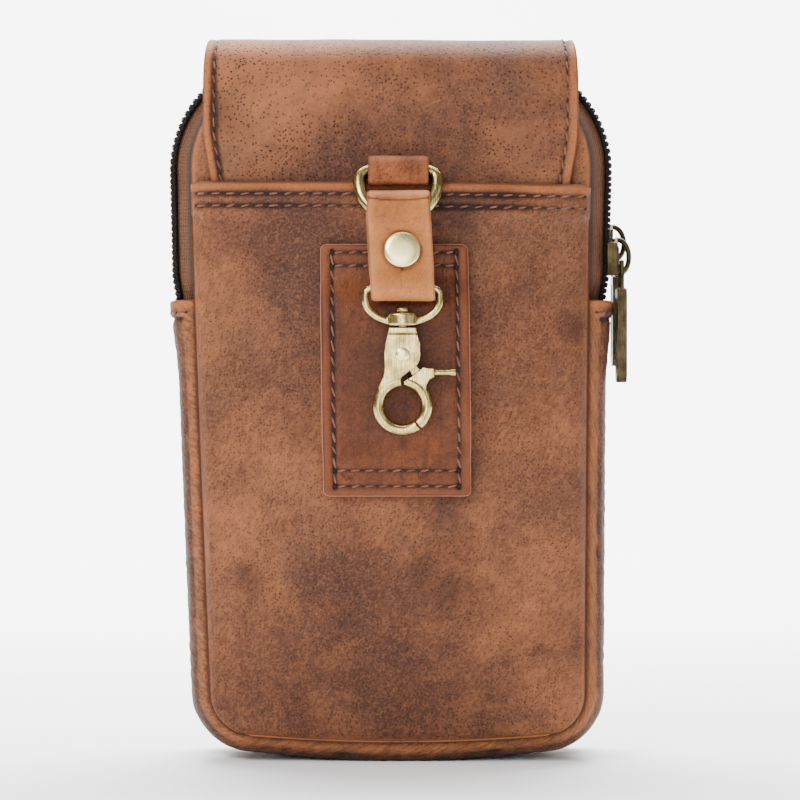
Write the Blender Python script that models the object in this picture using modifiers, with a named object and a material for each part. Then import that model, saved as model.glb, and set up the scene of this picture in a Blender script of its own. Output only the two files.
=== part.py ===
"""Phone belt bag in leather: two zipped lobes, a flap, a belt loop and a swivel snap hook.

The bag stands upright on its base. +Z is up, -Y is the belt side, and +X is to the right
when the belt side is seen. Lengths are in metres.
"""

import math

import bmesh
import bpy
from mathutils import Matrix, Vector

MM = 0.001
GAP = 0.3 * MM

# Middle of the whole width and depth, the slider pulls and the hook included.
CENTRE_X = 2.4 * MM
CENTRE_Y = -9.4 * MM

# Outline of the panels, along the seams.
PANEL_TOP = 178.6 * MM
SEAM_RISE = 5.6 * MM
HALF_WIDTH_AT_BASE = 48.4 * MM
HALF_WIDTH_AT_TOP = 52.4 * MM
BASE_CORNER = 9.8 * MM
TOP_CORNER = 26.0 * MM
BASE_LIFT = 2.7 * MM
BASE_LIFT_FADE = 60.0 * MM

# Depth of the two lobes, between the leather that closes them.
REAR_DEPTH = 17.4 * MM
FRONT_DEPTH = 15.4 * MM
DIVIDER_LEATHER = 1.2 * MM
PANEL_LEATHER = 1.5 * MM
REAR_DOME = 1.5 * MM
FRONT_DOME = 2.0 * MM

# Gusset: the leather band round the sides and the base of each lobe.
GUSSET_LEATHER = 1.3 * MM
GUSSET_HEM = 2.4 * MM
GUSSET_HEM_LENGTH = 3.6 * MM
GUSSET_TOP = 119.6 * MM
GUSSET_BULGE = 5.4 * MM
GUSSET_HEM_BULGE = 6.7 * MM
GUSSET_BASE_BULGE = 7.0 * MM
SEAM_ALLOWANCE = 3.5 * MM
HEM_FLARE = 22.0 * MM
HEM_STEP = 0.3 * MM

# Zip: two tapes and a coil over the top of each lobe.
TAPE_CLOTH = 0.8 * MM
COIL_HEIGHT = 2.0 * MM
COIL_WIDTH = 5.0 * MM
COIL_REACH = 6.6 * MM
ZIP_TUCK = 5.0 * MM
TUCK_START = 0.5 * MM
TUCK_RUN = 7.5 * MM
TAPE_DIP = 0.75 * MM
COIL_DIP = 0.6 * MM

# Slider and pull on each zip.
SLIDER_ABOVE_HEM = 11.8 * MM
FRONT_SLIDER_LIFT = 4.5 * MM
SLIDER_LENGTH = 9.8 * MM
SLIDER_WIDTH = 7.8 * MM
SLIDER_PLATE = 1.1 * MM
CROWN_REACH = 3.8 * MM
CROWN_LENGTH = 9.2 * MM
CROWN_BAND = 1.4 * MM
CROWN_WIDTH = 2.2 * MM
CROWN_SINK = 0.5 * MM
PULL_LENGTH = 24.6 * MM
PULL_WIDTH = 8.0 * MM
PULL_THICKNESS = 2.6 * MM
PULL_ARM_LENGTH = 6.9 * MM
PULL_ARM = 1.3 * MM
PULL_ARM_SINK = 1.0 * MM
PULL_OUT = 1.1 * MM
PULL_DROP = 1.3 * MM
PULL_PLAY = 0.4 * MM
PULL_EDGE = 0.3 * MM
PULL_CHAMFER = 1.6 * MM

# Back slip pocket.
POCKET_LEATHER = 1.1 * MM
POCKET_HEM = 2.3 * MM
POCKET_HEM_LENGTH = 7.0 * MM
POCKET_TOP = 149.0 * MM

# Flap.
FLAP_LEATHER = 1.5 * MM
FLAP_HALF_WIDTH = 48.0 * MM
FLAP_TUCK_HALF_WIDTH = 46.6 * MM
FLAP_TOP = 188.9 * MM
FLAP_ARCH_START = 172.0 * MM
FLAP_TUCK = 11.0 * MM
FLAP_FRONT_END = 97.0 * MM
FLAP_CORNER = 15.0 * MM
FLAP_ARCH_POWER = 3.0

# Belt loop.
LOOP_X = 2.0 * MM
LOOP_HALF_WIDTH = 19.1 * MM
LOOP_BASE = 69.6 * MM
LOOP_TOP = 133.6 * MM
LOOP_LEATHER = 2.2 * MM
LOOP_SEWN_END = 7.2 * MM
LOOP_RAMP = 6.5 * MM
BELT_GAP = 4.4 * MM

# D-ring, its tab, and the strap that hangs from it.
D_RING_X = 2.0 * MM
D_RING_HALF_WIDTH = 9.9 * MM
D_RING_RISE = 4.1 * MM
D_RING_WIRE = 1.7 * MM
D_RING_BAR = 153.0 * MM
D_RING_OFF_FLAP = 5.3 * MM
D_RING_LEAN = math.radians(24.0)
TAB_LEATHER = 1.0 * MM
TAB_ROOM = 0.7 * MM
TAB_PLAY = 0.2 * MM
TAB_HALF_WIDTH = 7.5 * MM
TAB_TUCK = 9.0 * MM
STRAP_LEATHER = 1.6 * MM
STRAP_HALF_WIDTH = 8.2 * MM
STRAP_FOLD_HALF_WIDTH = 7.0 * MM
STRAP_TAPER_START = 4.5 * MM
STRAP_TAPER = 4.0 * MM
STRAP_EYE_TAPER = 3.0 * MM
STRAP_ROOM = 0.6 * MM
STRAP_SEAT = 3.2 * MM
STRAP_SLACK = 0.6 * MM
RIVET_SHARE = 0.5
RIVET_CAP = 4.6 * MM
RIVET_BACK = 3.0 * MM
RIVET_POST = 1.2 * MM
RIVET_PLAY = 0.95 * MM
RIVET_CAP_THICKNESS = 1.0 * MM
PINCH = 3.6 * MM

# Swivel hook.
HOOK_X = 3.05 * MM
HOOK_OFF_LOOP = 3.7 * MM
EYE_HANG = 33.8 * MM
EYE_HALF_WIDTH = 9.4 * MM
EYE_RISE = 3.2 * MM
EYE_DROP = 5.8 * MM
EYE_WIRE = 1.0 * MM
COLLAR_DROP = 6.5 * MM
COLLAR_HEIGHT = 3.3 * MM
COLLAR_RADIUS = 3.9 * MM
COLLAR_DEPTH_RATIO = 0.75
STEM_RADIUS = 1.1 * MM
STEM_SINK = 0.3 * MM
STEM_HEAD_RADIUS = 1.75 * MM
STEM_HEAD_HEIGHT = 1.0 * MM
NECK_CLEARANCE = 0.5 * MM
PIN_DROP = 6.7 * MM
HOOK_THICKNESS = 3.6 * MM
HOOK_EDGE = 0.45 * MM
HOOK_HALF_WIDTH = 4.6 * MM
HOUSING_RADIUS = 4.55 * MM
RING_DROP = 12.96 * MM
RING_OUTER = 7.6 * MM
RING_INNER = 4.87 * MM
RING_ROOT = 161.0
RING_TIP = 97.0
GATE_ROOT = 31.0
GATE_TIP = 86.0
RING_CUT = math.radians(-53.7)
RING_CUT_GAP = 0.5 * MM
PIN_RADIUS = 0.9 * MM
PIN_HEAD = 1.75 * MM
PIN_HEAD_THICKNESS = 0.5 * MM
HUB_RADIUS = 3.0 * MM
TANG_THICKNESS = 1.1 * MM
LEVER_LENGTH = 13.4 * MM
LEVER_THICKNESS = 1.75 * MM
GATE_SWING = math.radians(27.0)
GATE_PLAY = 0.4 * MM

# Seam of the rear panel and of the front panel, and the middle of each lobe.
REAR_SEAM = -(DIVIDER_LEATHER / 2 + REAR_DEPTH)
FRONT_SEAM = DIVIDER_LEATHER / 2 + FRONT_DEPTH
REAR_OUTER = REAR_SEAM - PANEL_LEATHER
FRONT_OUTER = FRONT_SEAM + PANEL_LEATHER

# Heights that follow from the pieces above them.
SLIDER_HEIGHT = GUSSET_TOP + SLIDER_ABOVE_HEM
EYE_HEIGHT = D_RING_BAR - EYE_HANG
COLLAR_BASE = EYE_HEIGHT - COLLAR_DROP
RING_LOW = D_RING_BAR - (D_RING_RISE + D_RING_HALF_WIDTH) * math.cos(D_RING_LEAN)
STRAP_TOP_FOLD = RING_LOW + STRAP_SEAT
STRAP_LOW_FOLD = EYE_HEIGHT + EYE_RISE - STRAP_SLACK
RIVET_HEIGHT = STRAP_LOW_FOLD + (STRAP_TOP_FOLD - STRAP_LOW_FOLD) * RIVET_SHARE

# Share of the way up the front of the hook, and its reach to the left, as a share of its half width.
NECK_EDGE = ((1.00, -0.80, 0.78), (0.78, -0.82, 0.78), (0.38, -0.95, 0.98))
# Left edge below the pin: share of the drop to the ring, share of the half width.
SHANK_EDGE = ((0.00, -1.00), (0.25, -0.98), (0.44, -1.06), (0.62, -1.30))


def collection(name):
    """A new collection in the scene."""
    made = bpy.data.collections.new(name)
    bpy.context.scene.collection.children.link(made)
    return made


def finish(name, colour, roughness, metallic=0.0):
    """A Principled material."""
    made = bpy.data.materials.new(name)
    made.use_nodes = True
    shader = made.node_tree.nodes["Principled BSDF"]
    shader.inputs["Base Color"].default_value = (*colour, 1.0)
    shader.inputs["Roughness"].default_value = roughness
    shader.inputs["Metallic"].default_value = metallic
    made.diffuse_color = (*colour, 1.0)
    return made


def place_in(group, thing):
    """Moves an object into one collection."""
    for holder in list(thing.users_collection):
        holder.objects.unlink(thing)
    group.objects.link(thing)
    return thing


def mesh_object(name, builder, group, material=None):
    """A mesh object from a bmesh."""
    mesh = bpy.data.meshes.new(name)
    builder.to_mesh(mesh)
    builder.free()
    if material:
        mesh.materials.append(material)
    thing = bpy.data.objects.new(name, mesh)
    group.objects.link(thing)
    return thing


def sheet(name, columns, rows, place, leather, group, material):
    """Leather or cloth from its outer face: a grid laid by place(column, row), then thickened.

    leather is one thickness, or a function of (column, row) that gives it.
    """
    builder = bmesh.new()
    bmesh.ops.create_grid(builder, x_segments=columns, y_segments=rows, size=0.5)
    spots = []
    for vertex in builder.verts:
        column = round((vertex.co.x + 0.5) * columns)
        row = round((vertex.co.y + 0.5) * rows)
        spots.append((column, row))
        vertex.co = place(column, row)
    thing = mesh_object(name, builder, group, material)
    solid = thing.modifiers.new("Leather", "SOLIDIFY")
    solid.offset = -1.0
    if callable(leather):
        depths = [leather(column, row) for column, row in spots]
        solid.thickness = max(depths)
        weights = thing.vertex_groups.new(name="thickness")
        for index, depth in enumerate(depths):
            weights.add([index], depth / solid.thickness, "REPLACE")
        solid.vertex_group = weights.name
    else:
        solid.thickness = leather
    return thing


def block(name, size, centre, group, material=None):
    """A box by its size and centre."""
    builder = bmesh.new()
    bmesh.ops.create_cube(builder, size=1.0, matrix=Matrix.Diagonal((*size, 1.0)))
    thing = mesh_object(name, builder, group, material)
    thing.location = centre
    return thing


def cylinder(name, radius, length, axis, centre, group, material=None, sides=20):
    """A cylinder along X, Y or Z, by its centre."""
    turn = {"X": Matrix.Rotation(math.pi / 2, 4, "Y"), "Y": Matrix.Rotation(math.pi / 2, 4, "X")}
    builder = bmesh.new()
    bmesh.ops.create_cone(
        builder,
        cap_ends=True,
        segments=sides,
        radius1=radius,
        radius2=radius,
        depth=length,
        matrix=turn.get(axis, Matrix.Identity(4)),
    )
    thing = mesh_object(name, builder, group, material)
    thing.location = centre
    return thing


def as_mesh(curve, group):
    """Turns a curve object into a closed mesh object of the same name."""
    bpy.context.view_layer.update()
    graph = bpy.context.evaluated_depsgraph_get()
    mesh = bpy.data.meshes.new_from_object(curve.evaluated_get(graph))
    builder = bmesh.new()
    builder.from_mesh(mesh)
    bmesh.ops.remove_doubles(builder, verts=builder.verts, dist=0.00001)
    builder.to_mesh(mesh)
    builder.free()
    name = curve.name
    where = curve.matrix_world.copy()
    bpy.data.objects.remove(curve)
    thing = bpy.data.objects.new(name, mesh)
    thing.matrix_world = where
    group.objects.link(thing)
    return thing


def plate(name, outline, thickness, edge, group, material=None):
    """A flat plate standing in the XZ plane, from an outline of (x, z), with rounded edges."""
    curve = bpy.data.curves.new(name, "CURVE")
    curve.dimensions = "2D"
    curve.fill_mode = "BOTH"
    curve.extrude = thickness / 2
    line = curve.splines.new("POLY")
    line.points.add(len(outline) - 1)
    for point, (x, z) in zip(line.points, outline):
        point.co = (x, z, 0.0, 1.0)
    line.use_cyclic_u = True
    thing = bpy.data.objects.new(name, curve)
    thing.rotation_euler = (math.pi / 2, 0.0, 0.0)
    group.objects.link(thing)
    thing = as_mesh(thing, group)
    if edge:
        bevel = thing.modifiers.new("Edge", "BEVEL")
        bevel.width = edge
        bevel.segments = 1
        bevel.limit_method = "ANGLE"
        bevel.angle_limit = math.radians(60)
    if material:
        thing.data.materials.clear()
        thing.data.materials.append(material)
    return thing


def wire(name, points, radius, group, material=None):
    """A closed loop of round wire through points."""
    curve = bpy.data.curves.new(name, "CURVE")
    curve.dimensions = "3D"
    curve.bevel_depth = radius
    curve.bevel_resolution = 2
    line = curve.splines.new("POLY")
    line.points.add(len(points) - 1)
    for point, spot in zip(line.points, points):
        point.co = (*spot, 1.0)
    line.use_cyclic_u = True
    thing = bpy.data.objects.new(name, curve)
    group.objects.link(thing)
    thing = as_mesh(thing, group)
    if material:
        thing.data.materials.clear()
        thing.data.materials.append(material)
    return thing


def boolean(thing, operation, others, helpers):
    """Joins or cuts an object with others, which become helpers."""
    for other in others:
        place_in(helpers, other)
        other.display_type = "WIRE"
        other.hide_render = True
        step = thing.modifiers.new(operation.title(), "BOOLEAN")
        step.operation = operation
        step.solver = "EXACT"
        step.object = other


def arc(centre_x, centre_z, radius, start, end, steps):
    """Points (x, z) along an arc, its angles in degrees from +X toward +Z."""
    points = []
    for step in range(steps + 1):
        angle = math.radians(start + (end - start) * step / steps)
        points.append((centre_x + radius * math.cos(angle), centre_z + radius * math.sin(angle)))
    return points


def ring_points(half_width, rise, rise_power, drop, steps):
    """A ring with a flattened top and an elliptical lower half, as (x, z)."""
    points = []
    for step in range(steps):
        angle = 2 * math.pi * step / steps
        across = math.cos(angle)
        up = math.sin(angle)
        if up > 0:
            across = math.copysign(abs(across) ** (2 / rise_power), across)
            points.append((half_width * across, rise * up ** (2 / rise_power)))
        else:
            points.append((half_width * across, drop * up))
    return points


def ease(share):
    """0 to 1 with soft ends."""
    share = min(max(share, 0.0), 1.0)
    return share * share * (3 - 2 * share)


def side_line(z):
    """Half width of the straight sides at a height."""
    share = (z - SEAM_RISE) / (PANEL_TOP - SEAM_RISE)
    return HALF_WIDTH_AT_BASE + (HALF_WIDTH_AT_TOP - HALF_WIDTH_AT_BASE) * share


def corner_centres():
    """Centres (x, z) of the base corner and of the top corner on the right."""
    base_z = SEAM_RISE + BASE_CORNER
    top_z = PANEL_TOP - TOP_CORNER
    return (side_line(base_z) - BASE_CORNER, base_z), (side_line(top_z) - TOP_CORNER, top_z)


def seam_half_width(z):
    """Half width of the panels at a height, round corners included."""
    base, top = corner_centres()
    if z < base[1]:
        return base[0] + math.sqrt(max(BASE_CORNER**2 - (base[1] - z) ** 2, 0.0))
    if z > top[1]:
        return top[0] + math.sqrt(max(TOP_CORNER**2 - (z - top[1]) ** 2, 0.0))
    return side_line(z)


def lifted(x, z):
    """Height of a place once the base has curved up toward its corners."""
    share = min(abs(x) / HALF_WIDTH_AT_BASE, 1.0)
    return z + BASE_LIFT * share**2 * (1 - ease((z - SEAM_RISE) / BASE_LIFT_FADE))


def station(x, z, angle):
    """A place on the seam with its outward direction."""
    return (x, z, math.cos(angle), math.sin(angle))


def mirrored(right_half):
    """A whole path from its right half, which starts on the middle line."""
    left = [(-x, z, -out_x, out_z) for x, z, out_x, out_z in reversed(right_half)]
    return left + right_half[1:]


def corner_stations(centre, radius, start, end, steps):
    """Stations round a corner."""
    made = []
    for step in range(steps + 1):
        angle = math.radians(start + (end - start) * step / steps)
        x = centre[0] + radius * math.cos(angle)
        z = centre[1] + radius * math.sin(angle)
        made.append(station(x, z, angle))
    return made


def side_stations(heights):
    """Stations along the straight side."""
    lean = math.atan2(HALF_WIDTH_AT_TOP - HALF_WIDTH_AT_BASE, PANEL_TOP - SEAM_RISE)
    return [station(side_line(z), z, -lean) for z in heights]


def spread(start, end, steps):
    """Evenly spaced values, both ends included."""
    return [start + (end - start) * step / steps for step in range(steps + 1)]


def base_path():
    """Stations of the gusset, from the left hem round the base to the right hem."""
    base, _ = corner_centres()
    hem_edge = GUSSET_TOP - GUSSET_HEM_LENGTH
    half = [station(x, SEAM_RISE, -math.pi / 2) for x in spread(0.0, base[0], 4)]
    half += corner_stations(base, BASE_CORNER, -90, 0, 6)[1:]
    half += side_stations(spread(base[1], GUSSET_TOP - 0.8 * HEM_FLARE, 3)[1:])
    half += side_stations([hem_edge - HEM_STEP, hem_edge, GUSSET_TOP])
    return mirrored(half)


def zip_path(start):
    """Stations over the top, from a height on the left side to the same height on the right."""
    _, top = corner_centres()
    tuck_end = GUSSET_TOP + TUCK_START + TUCK_RUN
    half = side_stations([start, GUSSET_TOP + TUCK_START, tuck_end])
    half += side_stations(spread(tuck_end, top[1], 2)[1:])
    half += corner_stations(top, TOP_CORNER, 0, 90, 5)[1:]
    half += [station(0.0, PANEL_TOP, math.pi / 2)]
    half = [spot for spot in half if spot[1] >= start]
    return mirrored(half[::-1])


def gusset_bulge(x, z):
    """How far the gusset stands out of the seam, round the outline."""
    base = GUSSET_BASE_BULGE - GUSSET_BULGE
    hem = GUSSET_HEM_BULGE - GUSSET_BULGE
    toward_base = 1 - ease((z - SEAM_RISE) / BASE_CORNER)
    toward_base *= 1 - ease(abs(x) / (HALF_WIDTH_AT_BASE - BASE_CORNER))
    toward_hem = ease((z - GUSSET_TOP + HEM_FLARE) / HEM_FLARE)
    return GUSSET_BULGE + base * toward_base + hem * toward_hem


def lobe(name):
    """(near, far): where the leather of a lobe's seams lies, inside the panel and the divider."""
    if name == "rear":
        return REAR_SEAM + GAP, -DIVIDER_LEATHER / 2 - GAP
    return FRONT_SEAM - GAP, DIVIDER_LEATHER / 2 + GAP


def bulging(near, far, bulge, steps, start=0.0, end=180.0):
    """Section (out, y) that stands out of the seam between near and far."""
    middle = (near + far) / 2
    half = (near - far) / 2
    section = []
    for angle in spread(math.radians(start), math.radians(end), steps):
        out = bulge * max(math.sin(angle), 0.0) ** 0.8
        section.append((out, middle + half * math.cos(angle)))
    return section


def dome(x, z):
    """Share of a panel's swelling: 1 in the middle and 0 on the seams."""
    across = abs(x) / side_line(z)
    middle = (PANEL_TOP + SEAM_RISE) / 2
    up = abs(z - middle) / (PANEL_TOP - middle)
    return max(1 - across**3, 0.0) * max(1 - up**4, 0.0)


def back_face(x, z):
    """Outer face of the back panel."""
    return REAR_OUTER - REAR_DOME * dome(x, z)


def front_face(x, z):
    """Outer face of the front panel."""
    return FRONT_OUTER + FRONT_DOME * dome(x, z)


def pocket_room(x, z):
    """Space between the back panel and the slip pocket."""
    edge = seam_half_width(z) - abs(x)
    under_flap = FLAP_LEATHER + GAP
    under_tab = 2 * TAB_LEATHER + TAB_PLAY + GAP
    rim = ease(edge / (seam_half_width(z) - FLAP_HALF_WIDTH + 1 * MM))
    middle = 1 - min(abs(x - D_RING_X) / (0.8 * FLAP_HALF_WIDTH), 1.0) ** 3
    upward = ease((z - SEAM_RISE) / (0.55 * (POCKET_TOP - SEAM_RISE)))
    return GAP + (under_flap * rim + under_tab * middle) * upward


def pocket_leather(z):
    """Thickness of the pocket: its top edge is turned in and sewn."""
    return POCKET_HEM if z > POCKET_TOP - POCKET_HEM_LENGTH - 0.01 * MM else POCKET_LEATHER


def pocket_face(x, z):
    """Outer face of the slip pocket."""
    return back_face(x, z) - pocket_room(x, z) - pocket_leather(z)


def panel_heights(top):
    """Rows of a panel, closer together in the round corners."""
    base, upper = corner_centres()
    rows = [SEAM_RISE, SEAM_RISE + 0.06 * BASE_CORNER, SEAM_RISE + 0.3 * BASE_CORNER, base[1]]
    if top < upper[1]:
        return rows
    rows += spread(base[1], upper[1], 5)[1:]
    rows += [upper[1] + share * TOP_CORNER for share in (0.38, 0.7, 0.9, 1.0)]
    return rows


def panel(name, face, columns, side, group, material):
    """A panel of the bag between its seams. side is -1 for the back and 1 for the front."""
    heights = panel_heights(PANEL_TOP)

    def place(column, row):
        z = heights[row]
        x = -side * seam_half_width(z) * (2 * column / columns - 1)
        return Vector((x, face(x, z), lifted(x, z)))

    return sheet(name, columns, len(heights) - 1, place, PANEL_LEATHER, group, material)


def divider_panel(group, material):
    """The flat leather between the two lobes."""
    heights = panel_heights(PANEL_TOP)
    columns = 6

    def place(column, row):
        z = heights[row]
        x = seam_half_width(z) * (2 * column / columns - 1)
        return Vector((x, -DIVIDER_LEATHER / 2, lifted(x, z)))

    return sheet("divider_panel", columns, len(heights) - 1, place, DIVIDER_LEATHER, group, material)


def back_pocket(group, material):
    """The slip pocket over the lower part of the back panel."""
    hem_edge = POCKET_TOP - POCKET_HEM_LENGTH
    base, _ = corner_centres()
    heights = panel_heights(base[1])
    heights += spread(base[1], hem_edge - 1 * MM, 7)[1:]
    heights += [hem_edge, (hem_edge + POCKET_TOP) / 2, POCKET_TOP]
    shares = (-1.0, -0.955, -0.91, -0.6, -0.3, 0.04, 0.38, 0.64, 0.91, 0.955, 1.0)

    def place(column, row):
        z = heights[row]
        x = seam_half_width(z) * shares[column]
        return Vector((x, pocket_face(x, z), lifted(x, z)))

    def leather(column, row):
        return pocket_leather(heights[row])

    return sheet("back_pocket", len(shares) - 1, len(heights) - 1, place, leather, group, material)


def gusset(name, group, material):
    """The band of a lobe round its sides and base, with turned hems at both ends."""
    near, far = lobe(name)
    path = base_path()
    hem_edge = GUSSET_TOP - GUSSET_HEM_LENGTH

    def place(column, row):
        x, z, out_x, out_z = path[row]
        section = [(-SEAM_ALLOWANCE, near)]
        section += bulging(near, far, gusset_bulge(x, z), 6)
        section += [(-SEAM_ALLOWANCE, far)]
        out, y = section[column if name == "rear" else len(section) - 1 - column]
        return Vector((x + out_x * out, y, max(lifted(x, z) + out_z * out, 0.0)))

    def leather(column, row):
        return GUSSET_HEM if path[row][1] > hem_edge - 0.1 * MM else GUSSET_LEATHER

    return sheet(f"gusset_{name}", 8, len(path) - 1, place, leather, group, material)


def tuck_share(z):
    """1 where the zip runs under the gusset's hem, and 0 a little above it."""
    return 1 - ease((z - GUSSET_TOP - TUCK_START) / TUCK_RUN)


def zip_tape(name, side, group, material):
    """One of the two tapes of a lobe's zip. side is "outer" by the panel or "inner" by the divider."""
    near, far = lobe(name)
    path = zip_path(GUSSET_TOP - ZIP_TUCK)
    reach = COIL_REACH - COIL_HEIGHT - GAP

    def place(column, row):
        x, z, out_x, out_z = path[row]
        tuck = tuck_share(z)
        shift = math.copysign((GUSSET_HEM + GAP) * tuck, far - near)
        bulge = reach - TAPE_DIP * tuck
        section = bulging(near + shift, far - shift, bulge, 6)
        middle = (near + far) / 2
        if side == "outer":
            half = [(-SEAM_ALLOWANCE, near + shift)] + section[:4]
            edge = math.copysign(GAP / 2, near - far)
        else:
            half = section[3:] + [(-SEAM_ALLOWANCE, far - shift)]
            edge = math.copysign(GAP / 2, far - near)
        half = [(out, middle + edge if abs(y - middle) < GAP / 4 else y) for out, y in half]
        if name == "rear":
            half.reverse()
        out, y = half[column]
        return Vector((x + out_x * out, y, z + out_z * out))

    return sheet(f"zip_tape_{name}_{side}", 4, len(path) - 1, place, TAPE_CLOTH, group, material)


def zip_coil(name, group, material):
    """The coil of a lobe's zip, from hem to hem."""
    near, far = lobe(name)
    middle = (near + far) / 2
    path = zip_path(GUSSET_TOP + 2 * GAP)

    def place(column, row):
        x, z, out_x, out_z = path[row]
        out = COIL_REACH - COIL_DIP * tuck_share(z)
        y = middle + COIL_WIDTH * (0.5 - column / 2)
        if column != 1:
            out -= 0.15 * COIL_HEIGHT
        return Vector((x + out_x * out, y, z + out_z * out))

    def height(column, row):
        return COIL_HEIGHT if column == 1 else 0.7 * COIL_HEIGHT

    return sheet(f"zip_coil_{name}", 2, len(path) - 1, place, height, group, material)


def flap_path():
    """Rows of the flap as (part, value): up the back, over the top and down the front."""
    rows = [("back", z) for z in spread(POCKET_TOP - FLAP_TUCK, FLAP_ARCH_START, 4)]
    rows += [("top", angle) for angle in (18, 36, 52, 68, 90, 112, 128, 144, 162)]
    rows += [("front", z) for z in spread(FLAP_ARCH_START, FLAP_FRONT_END + FLAP_CORNER, 3)]
    for share in (0.45, 0.8, 0.96, 1.0):
        rows.append(("front", FLAP_FRONT_END + FLAP_CORNER * (1 - share)))
    return rows


def flap_half_width(part, z):
    """Half width of the flap: narrower where it is tucked in, and round at its front corners."""
    if part == "back":
        share = ease((z - POCKET_TOP + FLAP_TUCK) / (2.2 * FLAP_TUCK))
        return FLAP_TUCK_HALF_WIDTH + (FLAP_HALF_WIDTH - FLAP_TUCK_HALF_WIDTH) * share
    low = FLAP_FRONT_END + FLAP_CORNER
    if part == "front" and z < low:
        drop = min(low - z, FLAP_CORNER)
        return FLAP_HALF_WIDTH - FLAP_CORNER + math.sqrt(FLAP_CORNER**2 - drop**2)
    return FLAP_HALF_WIDTH


def flap_spot(part, value, across):
    """A point of the flap's outer face. across runs from -1 to 1."""
    stand_off = GAP + FLAP_LEATHER
    if part == "top":
        x = across * FLAP_HALF_WIDTH
        rear = back_face(x, FLAP_ARCH_START) - stand_off
        front = front_face(x, FLAP_ARCH_START) + stand_off
        angle = math.radians(value)
        along = math.copysign(abs(math.cos(angle)) ** (2 / FLAP_ARCH_POWER), math.cos(angle))
        up = math.sin(angle) ** (2 / FLAP_ARCH_POWER)
        y = (rear + front) / 2 + (rear - front) / 2 * along
        return Vector((x, y, FLAP_ARCH_START + (FLAP_TOP - FLAP_ARCH_START) * up))
    x = across * flap_half_width(part, value)
    if part == "back":
        return Vector((x, back_face(x, value) - stand_off, value))
    return Vector((x, front_face(x, value) + stand_off, value))


def flap(group, material):
    """The flap, tucked behind the pocket's hem and closed over the front."""
    rows = flap_path()
    columns = 8

    def place(column, row):
        part, value = rows[row]
        return flap_spot(part, value, 2 * column / columns - 1)

    return sheet("flap", columns, len(rows) - 1, place, FLAP_LEATHER, group, material)


def loop_plane():
    """Outer face of the belt loop's flat middle."""
    highest = min(pocket_face(LOOP_X, z) for z in spread(LOOP_BASE, LOOP_TOP, 8))
    return highest - BELT_GAP - LOOP_LEATHER


def belt_loop(group, material):
    """The patch sewn at its top and base, with a flat middle that a belt passes behind."""
    free_base = LOOP_BASE + LOOP_SEWN_END
    free_top = LOOP_TOP - LOOP_SEWN_END
    heights = [LOOP_BASE, (LOOP_BASE + free_base) / 2, free_base]
    heights += [free_base + LOOP_RAMP * share for share in (0.35, 0.7, 1.0)]
    heights += [free_top - LOOP_RAMP * share for share in (1.0, 0.7, 0.35)]
    heights += [free_top, (LOOP_TOP + free_top) / 2, LOOP_TOP]
    columns = 4

    def place(column, row):
        z = heights[row]
        x = LOOP_X + LOOP_HALF_WIDTH * (2 * column / columns - 1)
        sewn = pocket_face(x, z) - GAP - LOOP_LEATHER
        lift = ease((z - free_base) / LOOP_RAMP) * ease((free_top - z) / LOOP_RAMP)
        return Vector((x, sewn + (loop_plane() - sewn) * lift, z))

    return sheet("belt_loop", columns, len(heights) - 1, place, LOOP_LEATHER, group, material)


def bar_spot():
    """Centre of the D-ring's straight bar."""
    y = back_face(D_RING_X, D_RING_BAR) - GAP - FLAP_LEATHER - D_RING_OFF_FLAP
    return Vector((D_RING_X, y, D_RING_BAR))


def d_ring(group, material):
    """The D-ring, leaning outward from its bar."""
    bar = bar_spot()
    points = []
    for x, z in ring_points(D_RING_HALF_WIDTH, D_RING_RISE, 3.5, D_RING_HALF_WIDTH, 28):
        below = D_RING_RISE - z
        y = bar.y - below * math.sin(D_RING_LEAN)
        points.append((D_RING_X + x, y, bar.z - below * math.cos(D_RING_LEAN)))
    return wire("d_ring", points, D_RING_WIRE, group, material)


def tangent_angle(spot, radius, side):
    """Angle in degrees at which a line from a spot touches a circle about the origin."""
    away = math.hypot(*spot)
    return math.degrees(math.atan2(spot[1], spot[0]) + side * math.acos(min(radius / away, 1.0)))


def d_ring_tab(group, material):
    """The tab folded over the D-ring's bar, its ends sewn in behind the pocket's hem."""
    bar = bar_spot()
    radius = D_RING_WIRE + TAB_ROOM + TAB_LEATHER
    low = POCKET_TOP - TAB_TUCK

    def on_flap(z, lift):
        return back_face(D_RING_X, z) - GAP - FLAP_LEATHER - GAP - lift

    mouth = POCKET_TOP + 2 * GAP
    front = 2 * TAB_LEATHER + TAB_PLAY
    start = tangent_angle((on_flap(mouth, 0.0) - bar.y, mouth - bar.z), radius, 1)
    end = tangent_angle((on_flap(mouth, front) - bar.y, mouth - bar.z), radius, -1) + 360
    route = [(on_flap(z, 0.0), z) for z in (low, mouth)]
    for angle in spread(start, end, 8):
        turn = math.radians(angle)
        route.append((bar.y + radius * math.cos(turn), bar.z + radius * math.sin(turn)))
    route += [(on_flap(z, front), z) for z in (mouth, low)]

    def place(column, row):
        y, z = route[row]
        return Vector((D_RING_X + TAB_HALF_WIDTH * (1 - 2 * column), y, z))

    return sheet("d_ring_tab", 1, len(route) - 1, place, TAB_LEATHER, group, material)


def ring_low_spot():
    """Centre of the wire at the lowest point of the D-ring."""
    below = D_RING_RISE + D_RING_HALF_WIDTH
    return Vector((D_RING_X, bar_spot().y - below * math.sin(D_RING_LEAN), RING_LOW))


def hook_plane():
    """Middle plane of the swivel hook."""
    return loop_plane() - HOOK_OFF_LOOP


def strap_middle(z):
    """Where the strap's middle plane and middle line lie at a height: (x, y)."""
    top = ring_low_spot()
    low = EYE_HEIGHT + EYE_RISE
    share = (z - low) / (top.z - low)
    if z > top.z:
        return top.x, top.y + (z - top.z) * math.tan(D_RING_LEAN)
    return HOOK_X + (top.x - HOOK_X) * share, hook_plane() + (top.y - hook_plane()) * share


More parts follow.
